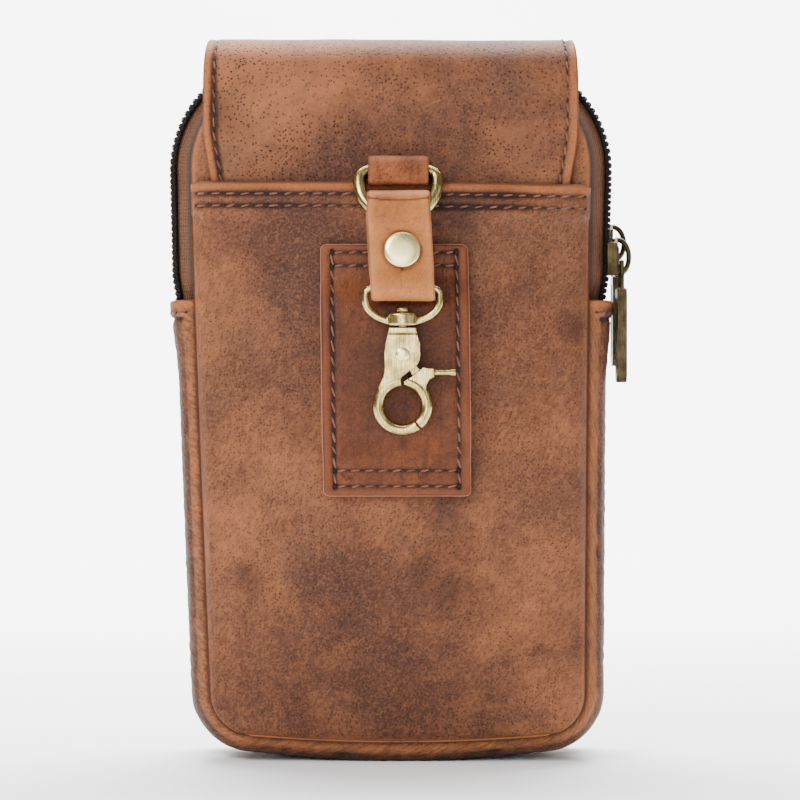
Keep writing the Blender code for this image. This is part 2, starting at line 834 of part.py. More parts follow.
def strap_lean():
    """How far the strap leans outward below the D-ring."""
    top = ring_low_spot()
    return math.atan2(top.y - hook_plane(), top.z - EYE_HEIGHT - EYE_RISE)


def strap_room(z):
    """Half of the space between the strap's two layers."""
    at_ring = D_RING_WIRE + STRAP_ROOM
    at_eye = EYE_WIRE + GAP
    top = ring_low_spot().z
    low = EYE_HEIGHT + EYE_RISE
    pinched = GAP / 2
    above = ease((z - RIVET_HEIGHT - PINCH) / (top - 2.5 * GAP - RIVET_HEIGHT - PINCH))
    below = ease((RIVET_HEIGHT - PINCH - z) / (RIVET_HEIGHT - PINCH - GAP - low))
    return pinched + (at_ring - pinched) * above + (at_eye - pinched) * below


def strap_route():
    """The strap's outer face as (y, z, half width), round from the back's middle and back to it."""
    top_room = D_RING_WIRE + STRAP_ROOM + STRAP_LEATHER
    low_room = EYE_WIRE + GAP + STRAP_LEATHER
    top_z = STRAP_TOP_FOLD
    low_z = STRAP_LOW_FOLD
    meeting = RIVET_HEIGHT + RIVET_BACK + 4 * GAP
    heights = [meeting - GAP, RIVET_HEIGHT, RIVET_HEIGHT - PINCH]
    heights += spread(RIVET_HEIGHT - PINCH, low_z, 4)[1:-1]
    route = [(1, z) for z in heights]
    back = [(strap_middle(z)[1] + side * (strap_room(z) + STRAP_LEATHER), z) for side, z in route]
    fold = []
    for angle in spread(0, -180, 8):
        turn = math.radians(angle)
        middle = strap_middle(low_z)[1]
        fold.append((middle + low_room * math.cos(turn), low_z + low_room * math.sin(turn)))
    front_heights = spread(low_z, RIVET_HEIGHT - PINCH, 4)[1:]
    front_heights += [RIVET_HEIGHT, RIVET_HEIGHT + PINCH]
    front_heights += spread(RIVET_HEIGHT + PINCH, top_z, 5)[1:-1]
    front = [(strap_middle(z)[1] - strap_room(z) - STRAP_LEATHER, z) for z in front_heights]
    top = []
    for angle in spread(180, 0, 8):
        turn = math.radians(angle)
        middle = strap_middle(top_z)[1]
        top.append((middle + top_room * math.cos(turn), top_z + top_room * math.sin(turn)))
    end_heights = spread(top_z, meeting, 4)[1:]
    end = [(strap_middle(z)[1] + strap_room(z) + STRAP_LEATHER, z) for z in end_heights]
    return back + fold + front + top + end


def strap_half_width(z):
    """Half width of the strap, drawn in where it passes through the D-ring and the eye."""
    full = STRAP_HALF_WIDTH - STRAP_FOLD_HALF_WIDTH
    below_ring = ease((RING_LOW + STRAP_TAPER_START - z) / STRAP_TAPER)
    above_eye = 0.4 + 0.6 * ease((z - EYE_HEIGHT - EYE_RISE - 2 * EYE_WIRE) / STRAP_EYE_TAPER)
    return STRAP_FOLD_HALF_WIDTH + full * min(below_ring, above_eye)


def hanger_strap(group, helpers, material):
    """The strap looped through the D-ring and the hook's eye, and riveted between them."""
    route = strap_route()

    def place(column, row):
        y, z = route[row]
        x = strap_middle(z)[0] + strap_half_width(z) * (2 * column - 1)
        return Vector((x, y, z))

    strap = sheet("hanger_strap", 1, len(route) - 1, place, STRAP_LEATHER, group, material)
    x, y = strap_middle(RIVET_HEIGHT)
    hole = cylinder("rivet_hole", RIVET_POST + GAP, 4 * PINCH, "Y", (x, y, RIVET_HEIGHT), helpers, sides=16)
    hole.rotation_euler.x = -strap_lean()
    boolean(strap, "DIFFERENCE", [hole], helpers)
    return strap


def rivet(group, material):
    """The rivet: a domed cap on the front, a post and a flat back."""
    x, y = strap_middle(RIVET_HEIGHT)
    half = STRAP_LEATHER + RIVET_PLAY
    profile = (
        (RIVET_BACK, half + RIVET_CAP_THICKNESS * 0.8),
        (RIVET_BACK, half),
        (RIVET_POST, half),
        (RIVET_POST, -half),
        (RIVET_CAP, -half),
        (RIVET_CAP, -half - RIVET_CAP_THICKNESS * 0.5),
        (RIVET_CAP * 0.85, -half - RIVET_CAP_THICKNESS * 0.85),
    )
    whole = turned("rivet", profile, RIVET_CAP_THICKNESS + half, group, material)
    whole.location = (x, y, RIVET_HEIGHT)
    whole.rotation_euler.x = -strap_lean()
    return whole


def turned(name, profile, front, group, material):
    """A body turned about Y from a profile of (radius, y), closed at both ends on the axis."""
    builder = bmesh.new()
    points = [(0.0, profile[0][1]), *profile, (0.0, -front)]
    verts = [builder.verts.new((radius, y, 0.0)) for radius, y in points]
    edges = [builder.edges.new(pair) for pair in zip(verts, verts[1:])]
    bmesh.ops.spin(
        builder,
        geom=verts + edges,
        cent=(0, 0, 0),
        axis=(0, 1, 0),
        angle=2 * math.pi,
        steps=20,
        use_merge=True,
    )
    bmesh.ops.remove_doubles(builder, verts=builder.verts, dist=0.00001)
    bmesh.ops.recalc_face_normals(builder, faces=builder.faces)
    return mesh_object(name, builder, group, material)


def swivel_eye(group, helpers, material):
    """The eye of the swivel hook with the collar that its stem turns in."""
    y = hook_plane()
    points = []
    for x, z in ring_points(EYE_HALF_WIDTH, EYE_RISE, 5.0, EYE_DROP, 28):
        points.append((HOOK_X + x, y, EYE_HEIGHT + z))
    ring = wire("swivel_eye", points, EYE_WIRE, group, material)
    middle = (HOOK_X, y, COLLAR_BASE + COLLAR_HEIGHT / 2)
    collar = cylinder("collar", COLLAR_RADIUS, COLLAR_HEIGHT, "Z", middle, helpers, sides=24)
    for vertex in collar.data.vertices:
        vertex.co.y *= COLLAR_DEPTH_RATIO
    bore = cylinder("collar_bore", STEM_RADIUS + GAP, 3 * COLLAR_HEIGHT, "Z", middle, helpers, sides=16)
    boolean(ring, "UNION", [collar], helpers)
    boolean(ring, "DIFFERENCE", [bore], helpers)
    return ring


def pin_spot():
    """Centre of the gate's pin."""
    return Vector((HOOK_X, hook_plane(), COLLAR_BASE - NECK_CLEARANCE - PIN_DROP))


def hook_outline():
    """Outline (x, z) of the hook's fixed half, from its neck round the ring, about the pin."""
    left = [(HOOK_HALF_WIDTH * reach, PIN_DROP * up) for up, reach, _ in NECK_EDGE]
    left += [(HOOK_HALF_WIDTH * reach, -RING_DROP * down) for down, reach in SHANK_EDGE]
    cut = math.degrees(RING_CUT)
    outer = arc(0.0, -RING_DROP, RING_OUTER, RING_ROOT, 360 + cut, 16)
    inner = arc(0.0, -RING_DROP, RING_INNER, 360 + cut, RING_TIP, 14)
    slit = [(-0.08 * HOOK_HALF_WIDTH, -0.455 * RING_DROP)]
    housing = arc(0.0, 0.0, HOUSING_RADIUS, -66, 12, 7)
    right = [(HOOK_HALF_WIDTH * reach, PIN_DROP * up) for up, _, reach in reversed(NECK_EDGE)]
    return left + outer + inner + slit + housing + right


def hook_body(group, helpers, material):
    """The fixed half of the hook: ring, housing, neck, and the stem with its head."""
    body = plate("hook_body", hook_outline(), HOOK_THICKNESS, HOOK_EDGE, group, material)
    stem_top = PIN_DROP + NECK_CLEARANCE + COLLAR_HEIGHT + GAP
    low = PIN_DROP - STEM_RADIUS
    stem_end = stem_top + STEM_SINK
    stem = cylinder("stem", STEM_RADIUS, stem_end - low, "Z", (0, 0, (stem_end + low) / 2), helpers)
    head_middle = (0, 0, stem_top + STEM_HEAD_HEIGHT / 2)
    head = cylinder("stem_head", STEM_HEAD_RADIUS, STEM_HEAD_HEIGHT, "Z", head_middle, helpers)
    boolean(body, "UNION", [stem, head], helpers)
    wide = TANG_THICKNESS + 2 * GAP
    hub = cylinder("hub_slot", HUB_RADIUS + GAP, wide, "Y", (0, 0, 0), helpers, sides=24)
    reach = RING_DROP * 0.9
    start = -80
    end = -20 + math.degrees(GATE_SWING)
    sector = [(0.0, 0.0)] + arc(0.0, 0.0, reach, start, end, 4)
    slot = plate("gate_slot", sector, wide, 0.0, helpers)
    bore = cylinder("pin_bore", PIN_RADIUS + GAP, 2 * HOOK_THICKNESS, "Y", (0, 0, 0), helpers, sides=16)
    boolean(body, "DIFFERENCE", [bore, hub, slot], helpers)
    body.location = pin_spot()
    for helper in (stem, head, hub, slot, bore):
        helper.location = helper.location + pin_spot()
    return body


def gate_outline():
    """Outline (x, z) of the gate and its lever, about the pin."""
    cut = math.degrees(RING_CUT) + math.degrees(RING_CUT_GAP / RING_OUTER)
    top = LEVER_THICKNESS
    shoulder = -0.28 * RING_DROP
    upper = [(0.03 * RING_DROP, -0.53 * RING_DROP), (0.155 * RING_DROP, -0.453 * RING_DROP)]
    upper += [(0.31 * RING_DROP, -0.345 * RING_DROP), (0.40 * RING_DROP, -0.24 * RING_DROP)]
    lever = [(0.52 * RING_DROP, shoulder), (LEVER_LENGTH, shoulder)]
    lever += [(LEVER_LENGTH, shoulder - top), (0.60 * RING_DROP, shoulder - 1.1 * top)]
    lever += [(0.50 * RING_DROP, shoulder - 1.6 * top), (0.455 * RING_DROP, shoulder - 2.4 * top)]
    outer = arc(0.0, -RING_DROP, RING_OUTER, GATE_ROOT, cut, 8)
    inner = arc(0.0, -RING_DROP, RING_INNER, cut, GATE_TIP, 12)
    return upper + lever + outer + inner


def hook_gate(group, helpers, material):
    """The moving half of the ring with its lever and the tang that turns on the pin."""
    gate = plate("hook_gate", gate_outline(), HOOK_THICKNESS - GATE_PLAY, HOOK_EDGE, group, material)
    hub = cylinder("hub", HUB_RADIUS, TANG_THICKNESS, "Y", (0, 0, 0), helpers, sides=24)
    reach = 0.52 * RING_DROP
    arm = plate("tang_arm", [(0.0, 0.0)] + arc(0.0, 0.0, reach, -66, -40, 2), TANG_THICKNESS, 0.0, helpers)
    bore = cylinder("gate_bore", PIN_RADIUS + GAP, 2 * HOOK_THICKNESS, "Y", (0, 0, 0), helpers, sides=16)
    boolean(gate, "UNION", [arm, hub], helpers)
    boolean(gate, "DIFFERENCE", [bore], helpers)
    gate.location = pin_spot()
    for helper in (hub, arm, bore):
        helper.location = helper.location + pin_spot()
    return gate


def hook_pin(group, material):
    """The pin that the gate turns on, headed at both ends."""
    half = HOOK_THICKNESS / 2 + GAP
    profile = (
        (PIN_HEAD, half + PIN_HEAD_THICKNESS),
        (PIN_HEAD, half),
        (PIN_RADIUS, half),
        (PIN_RADIUS, -half),
        (PIN_HEAD, -half),
        (PIN_HEAD, -half - PIN_HEAD_THICKNESS * 0.6),
    )
    pin = turned("hook_pin", profile, half + PIN_HEAD_THICKNESS, group, material)
    pin.location = pin_spot()
    return pin


def slider_spot(name):
    """The foot of a slider's crown, on the outer face of its plate."""
    near, far = lobe(name)
    z = SLIDER_HEIGHT + (FRONT_SLIDER_LIFT if name == "front" else 0.0)
    return Vector((side_line(z) + COIL_REACH + GAP + SLIDER_PLATE, (near + far) / 2, z))


def slider(name, group, helpers, material):
    """A slider riding on its coil, with the crown that its pull hangs from."""
    spot = slider_spot(name)
    skirt = 0.75 * COIL_HEIGHT
    depth = SLIDER_PLATE + skirt + GAP
    middle = spot - Vector((depth / 2, 0, 0))
    body = block(f"slider_{name}", (depth, SLIDER_WIDTH, SLIDER_LENGTH), middle, group, material)
    channel_width = COIL_WIDTH + 2 * GAP
    size = (depth, channel_width, 2 * SLIDER_LENGTH)
    channel = block(f"channel_{name}", size, spot - Vector((SLIDER_PLATE + depth / 2, 0, 0)), helpers)
    steps = 8

    def place(column, row):
        angle = math.pi * row / steps
        x = (CROWN_REACH + CROWN_SINK) * math.sin(angle) - CROWN_SINK
        y = CROWN_WIDTH * (0.5 - column)
        return Vector((x, y, CROWN_LENGTH / 2 * math.cos(angle)))

    crown = sheet(f"crown_{name}", 1, steps, place, CROWN_BAND, helpers, material)
    crown.location = spot
    boolean(body, "DIFFERENCE", [channel], helpers)
    boolean(body, "UNION", [crown], helpers)
    return body


def pull_tab(name, group, helpers, material):
    """A pull hanging by its cross bar from a slider's crown."""
    foot = slider_spot(name)
    hang = foot + Vector((PULL_OUT, 0.0, -PULL_DROP))
    half_y = PULL_WIDTH / 2
    arm_inner = CROWN_WIDTH / 2 + PULL_PLAY
    arm_outer = arm_inner + PULL_ARM
    outline = [
        (-half_y, -PULL_ARM_LENGTH),
        (-half_y, -PULL_ARM_LENGTH - PULL_LENGTH + PULL_CHAMFER),
        (-half_y + PULL_CHAMFER, -PULL_ARM_LENGTH - PULL_LENGTH),
        (half_y - PULL_CHAMFER, -PULL_ARM_LENGTH - PULL_LENGTH),
        (half_y, -PULL_ARM_LENGTH - PULL_LENGTH + PULL_CHAMFER),
        (half_y, -PULL_ARM_LENGTH),
    ]
    tab = plate(f"pull_tab_{name}", outline, PULL_THICKNESS, PULL_EDGE, group, material)
    turn = Matrix.Rotation(math.pi / 2, 4, "Z")
    tab.data.transform(turn @ tab.matrix_world.to_3x3().to_4x4())
    tab.matrix_world = Matrix.Identity(4)
    parts = []
    arm_length = PULL_ARM_LENGTH + PULL_ARM_SINK
    for side in (-1, 1):
        centre = Vector((0, side * (arm_inner + arm_outer) / 2, -arm_length / 2))
        parts.append(block(f"arm_{name}_{side}", (PULL_ARM, PULL_ARM, arm_length), centre, helpers))
    bar_length = 2 * arm_outer - 0.1 * MM
    bar = cylinder(f"cross_bar_{name}", 0.47 * PULL_ARM, bar_length, "Y", (0, 0, 0), helpers, sides=14)
    parts.append(bar)
    boolean(tab, "UNION", parts, helpers)
    tab.location = hang
    for part in parts:
        part.location = part.location + hang
    return tab


def main():
    """Builds the bag and sets it on its frame."""
    for thing in list(bpy.data.objects):
        bpy.data.objects.remove(thing)
    bag = collection("phone_belt_bag")
    helpers = collection("cutters")
    helpers.hide_render = True
    leather = finish("brown_leather", (0.30, 0.16, 0.095), 0.62)
    dark_leather = finish("dark_leather", (0.21, 0.085, 0.045), 0.55)
    tan_leather = finish("tan_leather", (0.50, 0.26, 0.13), 0.5)
    lining = finish("lining_leather", (0.16, 0.09, 0.06), 0.8)
    cloth = finish("zip_cloth", (0.18, 0.08, 0.045), 0.9)
    coil = finish("zip_coil", (0.03, 0.012, 0.008), 0.45)
    brass = finish("antique_brass", (0.62, 0.53, 0.36), 0.3, 1.0)
    dark_brass = finish("dark_brass", (0.12, 0.10, 0.06), 0.35, 1.0)

    panel("back_panel", back_face, 8, -1, bag, leather)
    panel("front_panel", front_face, 8, 1, bag, leather)
    divider_panel(bag, lining)
    back_pocket(bag, leather)
    for name in ("rear", "front"):
        gusset(name, bag, leather)
        zip_tape(name, "outer", bag, cloth)
        zip_tape(name, "inner", bag, cloth)
        zip_coil(name, bag, coil)
        slider(name, bag, helpers, dark_brass)
        pull_tab(name, bag, helpers, dark_brass)
    flap(bag, leather)
    belt_loop(bag, dark_leather)
    d_ring_tab(bag, tan_leather)
    d_ring(bag, brass)
    hanger_strap(bag, helpers, tan_leather)
    rivet(bag, brass)
    swivel_eye(bag, helpers, brass)
    hook_body(bag, helpers, brass)
    hook_gate(bag, helpers, brass)
    hook_pin(bag, brass)

    frame = bpy.data.objects.new("bag_frame", None)
    bag.objects.link(frame)
    for thing in list(bag.objects) + list(helpers.objects):
        if thing is not frame:
            thing.parent = frame
    frame.location = (-CENTRE_X, -CENTRE_Y, 0.0)


main()
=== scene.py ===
"""The looks of the phone belt bag: leather, thread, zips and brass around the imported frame.

Shapes are worked out in the bag's own frame, in metres: x runs from the bag's middle to the
right, y away from the viewer and z up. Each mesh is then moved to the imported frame.
"""

from __future__ import annotations

import logging
import math
from dataclasses import dataclass, field, replace
from enum import Enum
from typing import Any, Callable, NamedTuple, Sequence

import bpy
import numpy as np
from mathutils import Matrix, Vector, noise

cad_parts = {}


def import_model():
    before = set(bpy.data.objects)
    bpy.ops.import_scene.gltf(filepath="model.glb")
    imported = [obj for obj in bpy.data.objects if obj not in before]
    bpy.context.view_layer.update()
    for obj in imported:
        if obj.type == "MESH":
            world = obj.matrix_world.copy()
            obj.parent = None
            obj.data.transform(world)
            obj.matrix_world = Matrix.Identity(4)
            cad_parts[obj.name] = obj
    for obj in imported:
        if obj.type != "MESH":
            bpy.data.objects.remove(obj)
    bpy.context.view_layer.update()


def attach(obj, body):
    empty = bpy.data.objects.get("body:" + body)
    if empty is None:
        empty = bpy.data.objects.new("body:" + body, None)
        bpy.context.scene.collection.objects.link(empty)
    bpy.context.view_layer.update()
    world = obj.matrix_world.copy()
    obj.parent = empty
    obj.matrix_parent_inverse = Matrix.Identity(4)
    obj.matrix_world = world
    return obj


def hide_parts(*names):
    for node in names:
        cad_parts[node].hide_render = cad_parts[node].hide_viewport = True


LOG = logging.getLogger("belt_bag")
MM = 0.001
GAP = 0.3 * MM
# Depth at which the painted shade in a furrow is full.
FULL_SHADE_DEPTH = 0.35 * MM
# How far a spot or scratch reaches into the leather.
MARK_DEPTH = 12 * MM
TO_FRAME = np.array((-2.4 * MM, 9.4 * MM, 0.0))

Array = np.ndarray
Colour = tuple[float, float, float]
Surface = Callable[[Array, Array], Array]
Outlined = Sequence[tuple[float, float]]
Clouds = tuple[tuple[float, float, float, float], ...]


class Lobe(Enum):
    """One of the two zipped compartments."""

    REAR = "rear"
    FRONT = "front"


class Side(Enum):
    """Which of a zip's two halves: by the panel or by the divider."""

    OUTER = "outer"
    INNER = "inner"


class Body(Enum):
    """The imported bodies."""

    BAG = "bag"
    HOOK = "hook"
    GATE = "gate"
    PULL_REAR = "pull_rear"
    PULL_FRONT = "pull_front"


# Numbers and meshes


def ease(share: Array | float) -> Array:
    """0 to 1 with soft ends."""
    share = np.clip(share, 0.0, 1.0)
    return share * share * (3 - 2 * share)


def bell(distance: Array, width: float) -> Array:
    """1 at no distance, falling off softly over the width."""
    return np.exp(-((distance / width) ** 2))


def unit(vectors: Array) -> Array:
    """Vectors of length 1."""
    length = np.linalg.norm(vectors, axis=-1, keepdims=True)
    return vectors / np.maximum(length, 1e-12)


def joined(x: Any, y: Any, z: Any) -> Array:
    """Points from their coordinates, each a number or an array, on a new last axis."""
    return np.stack(np.broadcast_arrays(x, y, z), axis=-1)


def ripple(points: Array, scale: Sequence[float], seed: float = 0.0) -> Array:
    """Smooth noise from -1 to 1.

    Args:
        points: places, in metres, last axis of 3.
        scale: waves per metre along x, y and z.
        seed: moves the pattern.

    Returns:
        One value for each place.
    """
    spots = (points * np.asarray(scale) + seed).reshape(-1, 3)
    values = [noise.noise(spot) for spot in spots.tolist()]
    return np.asarray(values).reshape(points.shape[:-1])


def along(points: Array) -> Array:
    """Distance along a line of points from its start."""
    steps = np.linalg.norm(np.diff(points, axis=0), axis=1)
    return np.concatenate([[0.0], np.cumsum(steps)])


def evenly(points: Array, spacing: float) -> Array:
    """The same line with evenly spaced points."""
    run = along(points)
    count = max(2, round(run[-1] / spacing) + 1)
    spots = np.linspace(0.0, run[-1], count)
    return np.stack([np.interp(spots, run, axis) for axis in points.T], axis=1)


def graded(
    start: float, end: float, step: float, fine: float, spots: Sequence[float], reach: float
) -> Array:
    """Values from start to end, closer together near some spots.

    Args:
        start: first value.
        end: last value.
        step: spacing away from the spots.
        fine: spacing near them.
        spots: where the lines crowd.
        reach: how far each spot's crowding goes.

    Returns:
        Rising values with both ends.
    """
    dense = np.linspace(start, end, 4000)
    near = np.zeros_like(dense)
    for spot in spots:
        near = np.maximum(near, bell(dense - spot, reach))
    rate = 1 / (step + (fine - step) * near)
    total = np.concatenate([[0.0], np.cumsum((rate[1:] + rate[:-1]) / 2 * np.diff(dense))])
    count = max(2, int(total[-1]) + 1)
    return np.interp(np.linspace(0, total[-1], count), total, dense)


def new_mesh(name: str, verts: Array, faces: Sequence[Any]) -> bpy.types.Object:
    """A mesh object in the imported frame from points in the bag's frame."""
    mesh = bpy.data.meshes.new(name)
    mesh.from_pydata((np.asarray(verts) + TO_FRAME).tolist(), [], [list(face) for face in faces])
    mesh.polygons.foreach_set("use_smooth", [True] * len(mesh.polygons))
    mesh.update()
    thing = bpy.data.objects.new(name, mesh)
    bpy.context.scene.collection.objects.link(thing)
    return thing


def store(thing: bpy.types.Object, name: str, values: Array) -> None:
    """Keeps one number for each point of a mesh, for its material to read."""
    held = thing.data.attributes.new(name, "FLOAT", "POINT")
    held.data.foreach_set("value", np.asarray(values, np.float32))


class Finish(NamedTuple):
    """A material and the record's slot for it."""

    material: bpy.types.Material
    slot: str


def dress(thing: bpy.types.Object, finish: Finish, *nodes: str, body: Body = Body.BAG) -> None:
    """Gives a piece its finish, its body and the solids that it stands for."""
    if not thing.data.materials:
        thing.data.materials.append(finish.material)
    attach(thing, body.value)
    if nodes:
        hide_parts(*nodes)
    LOG.info("%s: %d faces", thing.name, len(thing.data.polygons))


def grid_normals(grid: Array) -> Array:
    """Normals of a grid of points, on the side from which columns run right and rows run up."""
    return unit(np.cross(np.gradient(grid, axis=1), np.gradient(grid, axis=0)))


def edge_distances(grid: Array) -> tuple[Array, Array, Array]:
    """(distance to the nearest edge, distance along the row, distance along the column)."""
    across = np.linalg.norm(np.diff(grid, axis=1), axis=2)
    upward = np.linalg.norm(np.diff(grid, axis=0), axis=2)
    row = np.pad(np.cumsum(across, axis=1), ((0, 0), (1, 0)))
    column = np.pad(np.cumsum(upward, axis=0), ((1, 0), (0, 0)))
    nearest = np.minimum(np.minimum(row, row[:, -1:] - row), np.minimum(column, column[-1:] - column))
    return nearest, row, column


@dataclass
class Skin:
    """A sheet of leather or cloth, made as a closed mesh from its outer face.

    Attributes:
        name: the piece's name.
        grid: outer face, rows by columns by 3.
        thickness: one number, or one for each point.
        relief: height of folds and grooves on the outer face; where it sinks below the face, the groove is
            painted dark as shade.
        rim: how far the edge rounds outward, as a share of half the thickness.
        square: 1 for a round edge, less for a cut one.
        tone: light or dark clouds, from -1 to 1; on the pocket, the flap and the gusset it also holds painted
            light and shade.
        shade: painted shade from 0 to 1 where the sheet runs into a seam or a furrow.
        sewn: whether its edges are hidden in a seam, and so painted dark as shade.
        rim_steps: how many steps round the edge.
    """

    name: str
    grid: Array
    thickness: Array | float
    relief: Array | float = 0.0
    rim: float = 0.35
    square: float = 1.0
    tone: Array | float = 0.0
    shade: Array | float = 0.0
    sewn: bool = False
    rim_steps: int = 5

    def build(self) -> bpy.types.Object:
        """Makes the mesh."""
        grid = self.grid
        rows, columns = grid.shape[:2]
        thickness = np.broadcast_to(self.thickness, (rows, columns))
        relief = np.broadcast_to(self.relief, (rows, columns))
        tone = np.broadcast_to(self.tone, (rows, columns))
        shade = np.broadcast_to(self.shade, (rows, columns))
        normals = grid_normals(grid)
        outer = grid + normals * relief[..., None]
        inner = grid - normals * thickness[..., None]
        index = np.arange(rows * columns).reshape(rows, columns)
        loop = np.concatenate([index[0, :-1], index[:-1, -1], index[-1, :0:-1], index[:0:-1, 0]])
        flat_out, flat_in = outer.reshape(-1, 3), inner.reshape(-1, 3)
        ends_out, ends_in = flat_out[loop], flat_in[loop]
        middle = (ends_out + ends_in) / 2
        run = np.roll(middle, -1, axis=0) - np.roll(middle, 1, axis=0)
        away = unit(np.cross(run, ends_out - ends_in))
        half = np.linalg.norm(ends_out - ends_in, axis=1, keepdims=True) / 2
        rings = []
        for step in range(1, self.rim_steps):
            angle = math.pi * step / self.rim_steps
            rise = math.copysign(abs(math.cos(angle)) ** self.square, math.cos(angle))
            reach = math.sin(angle) ** self.square * self.rim
            rings.append(middle + (ends_out - ends_in) / 2 * rise + away * half * reach)
        verts = np.concatenate([flat_out, flat_in, *rings])
        quads = np.stack([index[:-1, :-1], index[:-1, 1:], index[1:, 1:], index[1:, :-1]], axis=-1)
        quads = quads.reshape(-1, 4)
        faces = [quads, quads[:, ::-1] + rows * columns]
        lines = [loop]
        lines += [2 * rows * columns + len(loop) * step + np.arange(len(loop)) for step in range(len(rings))]
        lines += [loop + rows * columns]
        for upper, lower in zip(lines, lines[1:]):
            faces.append(np.stack([upper, lower, np.roll(lower, -1), np.roll(upper, -1)], axis=1))
        thing = new_mesh(self.name, verts, np.concatenate(faces).tolist())
        nearest, row, column = edge_distances(grid)
        spare = len(loop) * len(rings)
        store(thing, "edge", np.concatenate([nearest.ravel(), nearest.ravel(), np.zeros(spare)]))
        cut_edge = 0.0 if self.sewn else 1.0
        cut = cut_edge * (1.0 - np.clip(np.tile(shade.ravel()[loop], len(rings)), 0.0, 1.0))
        store(thing, "rim", np.concatenate([np.zeros(2 * rows * columns), cut]))
        tones = tone.ravel()
        store(thing, "tone", np.concatenate([tones, tones, np.tile(tones[loop], len(rings))]))
        # Painted shade: grooves sunk below the face, places by a seam and sewn edges are darkened.
        groove_and_seam_shade = np.maximum(np.maximum(-relief, 0.0) / FULL_SHADE_DEPTH, shade).ravel()
        rim_shade = np.full(spare, 1.0) if self.sewn else np.tile(shade.ravel()[loop], len(rings))
        store(thing, "dip", np.concatenate([groove_and_seam_shade, 0 * groove_and_seam_shade, rim_shade]))
        self._lay_out(thing, row, column, loop, len(rings))
        return thing

    def _lay_out(self, thing: bpy.types.Object, row: Array, column: Array, loop: Array, rings: int) -> None:
        """Lays the sheet out flat, in metres, for a weave to follow it."""
        flat = np.stack([row.ravel(), column.ravel()], axis=1)
        spots = np.concatenate([flat, flat, np.tile(flat[loop], (rings, 1))])
        corners = np.empty(len(thing.data.loops), np.int32)
        thing.data.loops.foreach_get("vertex_index", corners)
        layer = thing.data.uv_layers.new(name="flat")
        layer.data.foreach_set("uv", spots[corners].astype(np.float32).ravel())


@dataclass
class Lumps:
    """Closed bodies gathered into one mesh.

    Attributes:
        verts: points of each body.
        faces: faces of each body, numbered from its own first point.
    """

    verts: list[Array] = field(default_factory=list)
    faces: list[list[list[int]]] = field(default_factory=list)
    marks: list[int] = field(default_factory=list)

    def add(self, verts: Array, faces: Sequence[Sequence[int]], mark: int = 0) -> "Lumps":
        """Adds one closed body."""
        start = sum(len(part) for part in self.verts)
        self.verts.append(np.asarray(verts, float))
        self.faces.append([[index + start for index in face] for face in faces])
        self.marks += [mark] * len(faces)
        return self

    def loft(self, rings: Array, closed: bool = False) -> "Lumps":
        """Adds the body that runs through rings of points, count by sides by 3."""
        count, sides = rings.shape[:2]
        index = np.arange(count * sides).reshape(count, sides)
        nexts = np.roll(index, -1, axis=0) if closed else index[1:]
        first = index if closed else index[:-1]
        quads = np.stack([first, np.roll(first, -1, axis=1), np.roll(nexts, -1, axis=1), nexts], axis=-1)
        faces = quads.reshape(-1, 4).tolist()
        if not closed:
            faces += [index[0, ::-1].tolist(), index[-1].tolist()]
        return self.add(rings.reshape(-1, 3), faces)

    def tube(
        self, points: Array, across: Array | float, deep: float, closed: bool = False, sides: int = 16
    ) -> "Lumps":
        """Adds a bar of oval section along points in the XZ plane.

        Args:
            points: its middle line, n by 3.
            across: half width in the XZ plane.
            deep: half depth along Y.
            closed: whether the line is a loop.
            sides: faces round the section.

        Returns:
            These lumps.
        """
        count = len(points)
        if closed:
            run = np.roll(points, -1, axis=0) - np.roll(points, 1, axis=0)
        else:
            run = np.gradient(points, axis=0)
        out = unit(np.cross(run, (0.0, 1.0, 0.0)))
        deep_way = unit(np.cross(out, run))
        angles = 2 * math.pi * np.arange(sides) / sides
        half = np.broadcast_to(across, (count,))[:, None, None]
        rings = points[:, None] + out[:, None] * half * np.cos(angles)[None, :, None]
        rings = rings + deep_way[:, None] * deep * np.sin(angles)[None, :, None]
        return self.loft(rings, closed)

    def prism(self, outline: Outlined, deep: float, centre: Sequence[float] = (0, 0, 0)) -> "Lumps":
        """Adds a plate from an outline of (x, z), deep along Y."""
        flat = np.asarray(outline, float)
        count = len(flat)
        near = np.stack([flat[:, 0], np.full(count, -deep / 2), flat[:, 1]], axis=1) + centre
        far = near + (0.0, deep, 0.0)
        ring = list(range(count))
        faces = [ring, [index + count for index in reversed(ring)]]
        faces += [[i, i + count, (i + 1) % count + count, (i + 1) % count] for i in ring]
        return self.add(np.concatenate([near, far]), faces)

    def spun(self, profile: Outlined, axis: str = "Y", sides: int = 64) -> "Lumps":
        """Adds a body turned about Y or Z from a profile of (radius, place along it), closed at both ends."""
        angles = 2 * math.pi * np.arange(sides) / sides
        verts: list[Array] = []
        rings: list[list[int]] = []
        for radius, place in profile:
            first = sum(len(part) for part in verts)
            turn = angles if radius > 0 else angles[:1]
            ring = np.stack([radius * np.cos(turn), np.full(len(turn), place), radius * np.sin(turn)], axis=1)
            verts.append(ring)
            rings.append(list(range(first, first + len(turn))) if radius > 0 else [first] * sides)
        faces = []
        for low, high in zip(rings, rings[1:]):
            for i in range(sides):
                face = [low[i], low[(i + 1) % sides], high[(i + 1) % sides], high[i]]
                faces.append(list(dict.fromkeys(face)))
        points = np.concatenate(verts)
        if axis == "Z":
            points = points[:, (0, 2, 1)] * (1, -1, 1)
        return self.add(points, faces)

    def box(self, size: Sequence[float], centre: Sequence[float]) -> "Lumps":
        """Adds a block by its size and centre."""
        x, y, z = size
        return self.prism([(-x / 2, -z / 2), (x / 2, -z / 2), (x / 2, z / 2), (-x / 2, z / 2)], y, centre)

    def object(self, name: str) -> bpy.types.Object:
        """The gathered mesh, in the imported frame."""
        faces = [face for part in self.faces for face in part]
        return new_mesh(name, np.concatenate(self.verts), faces)


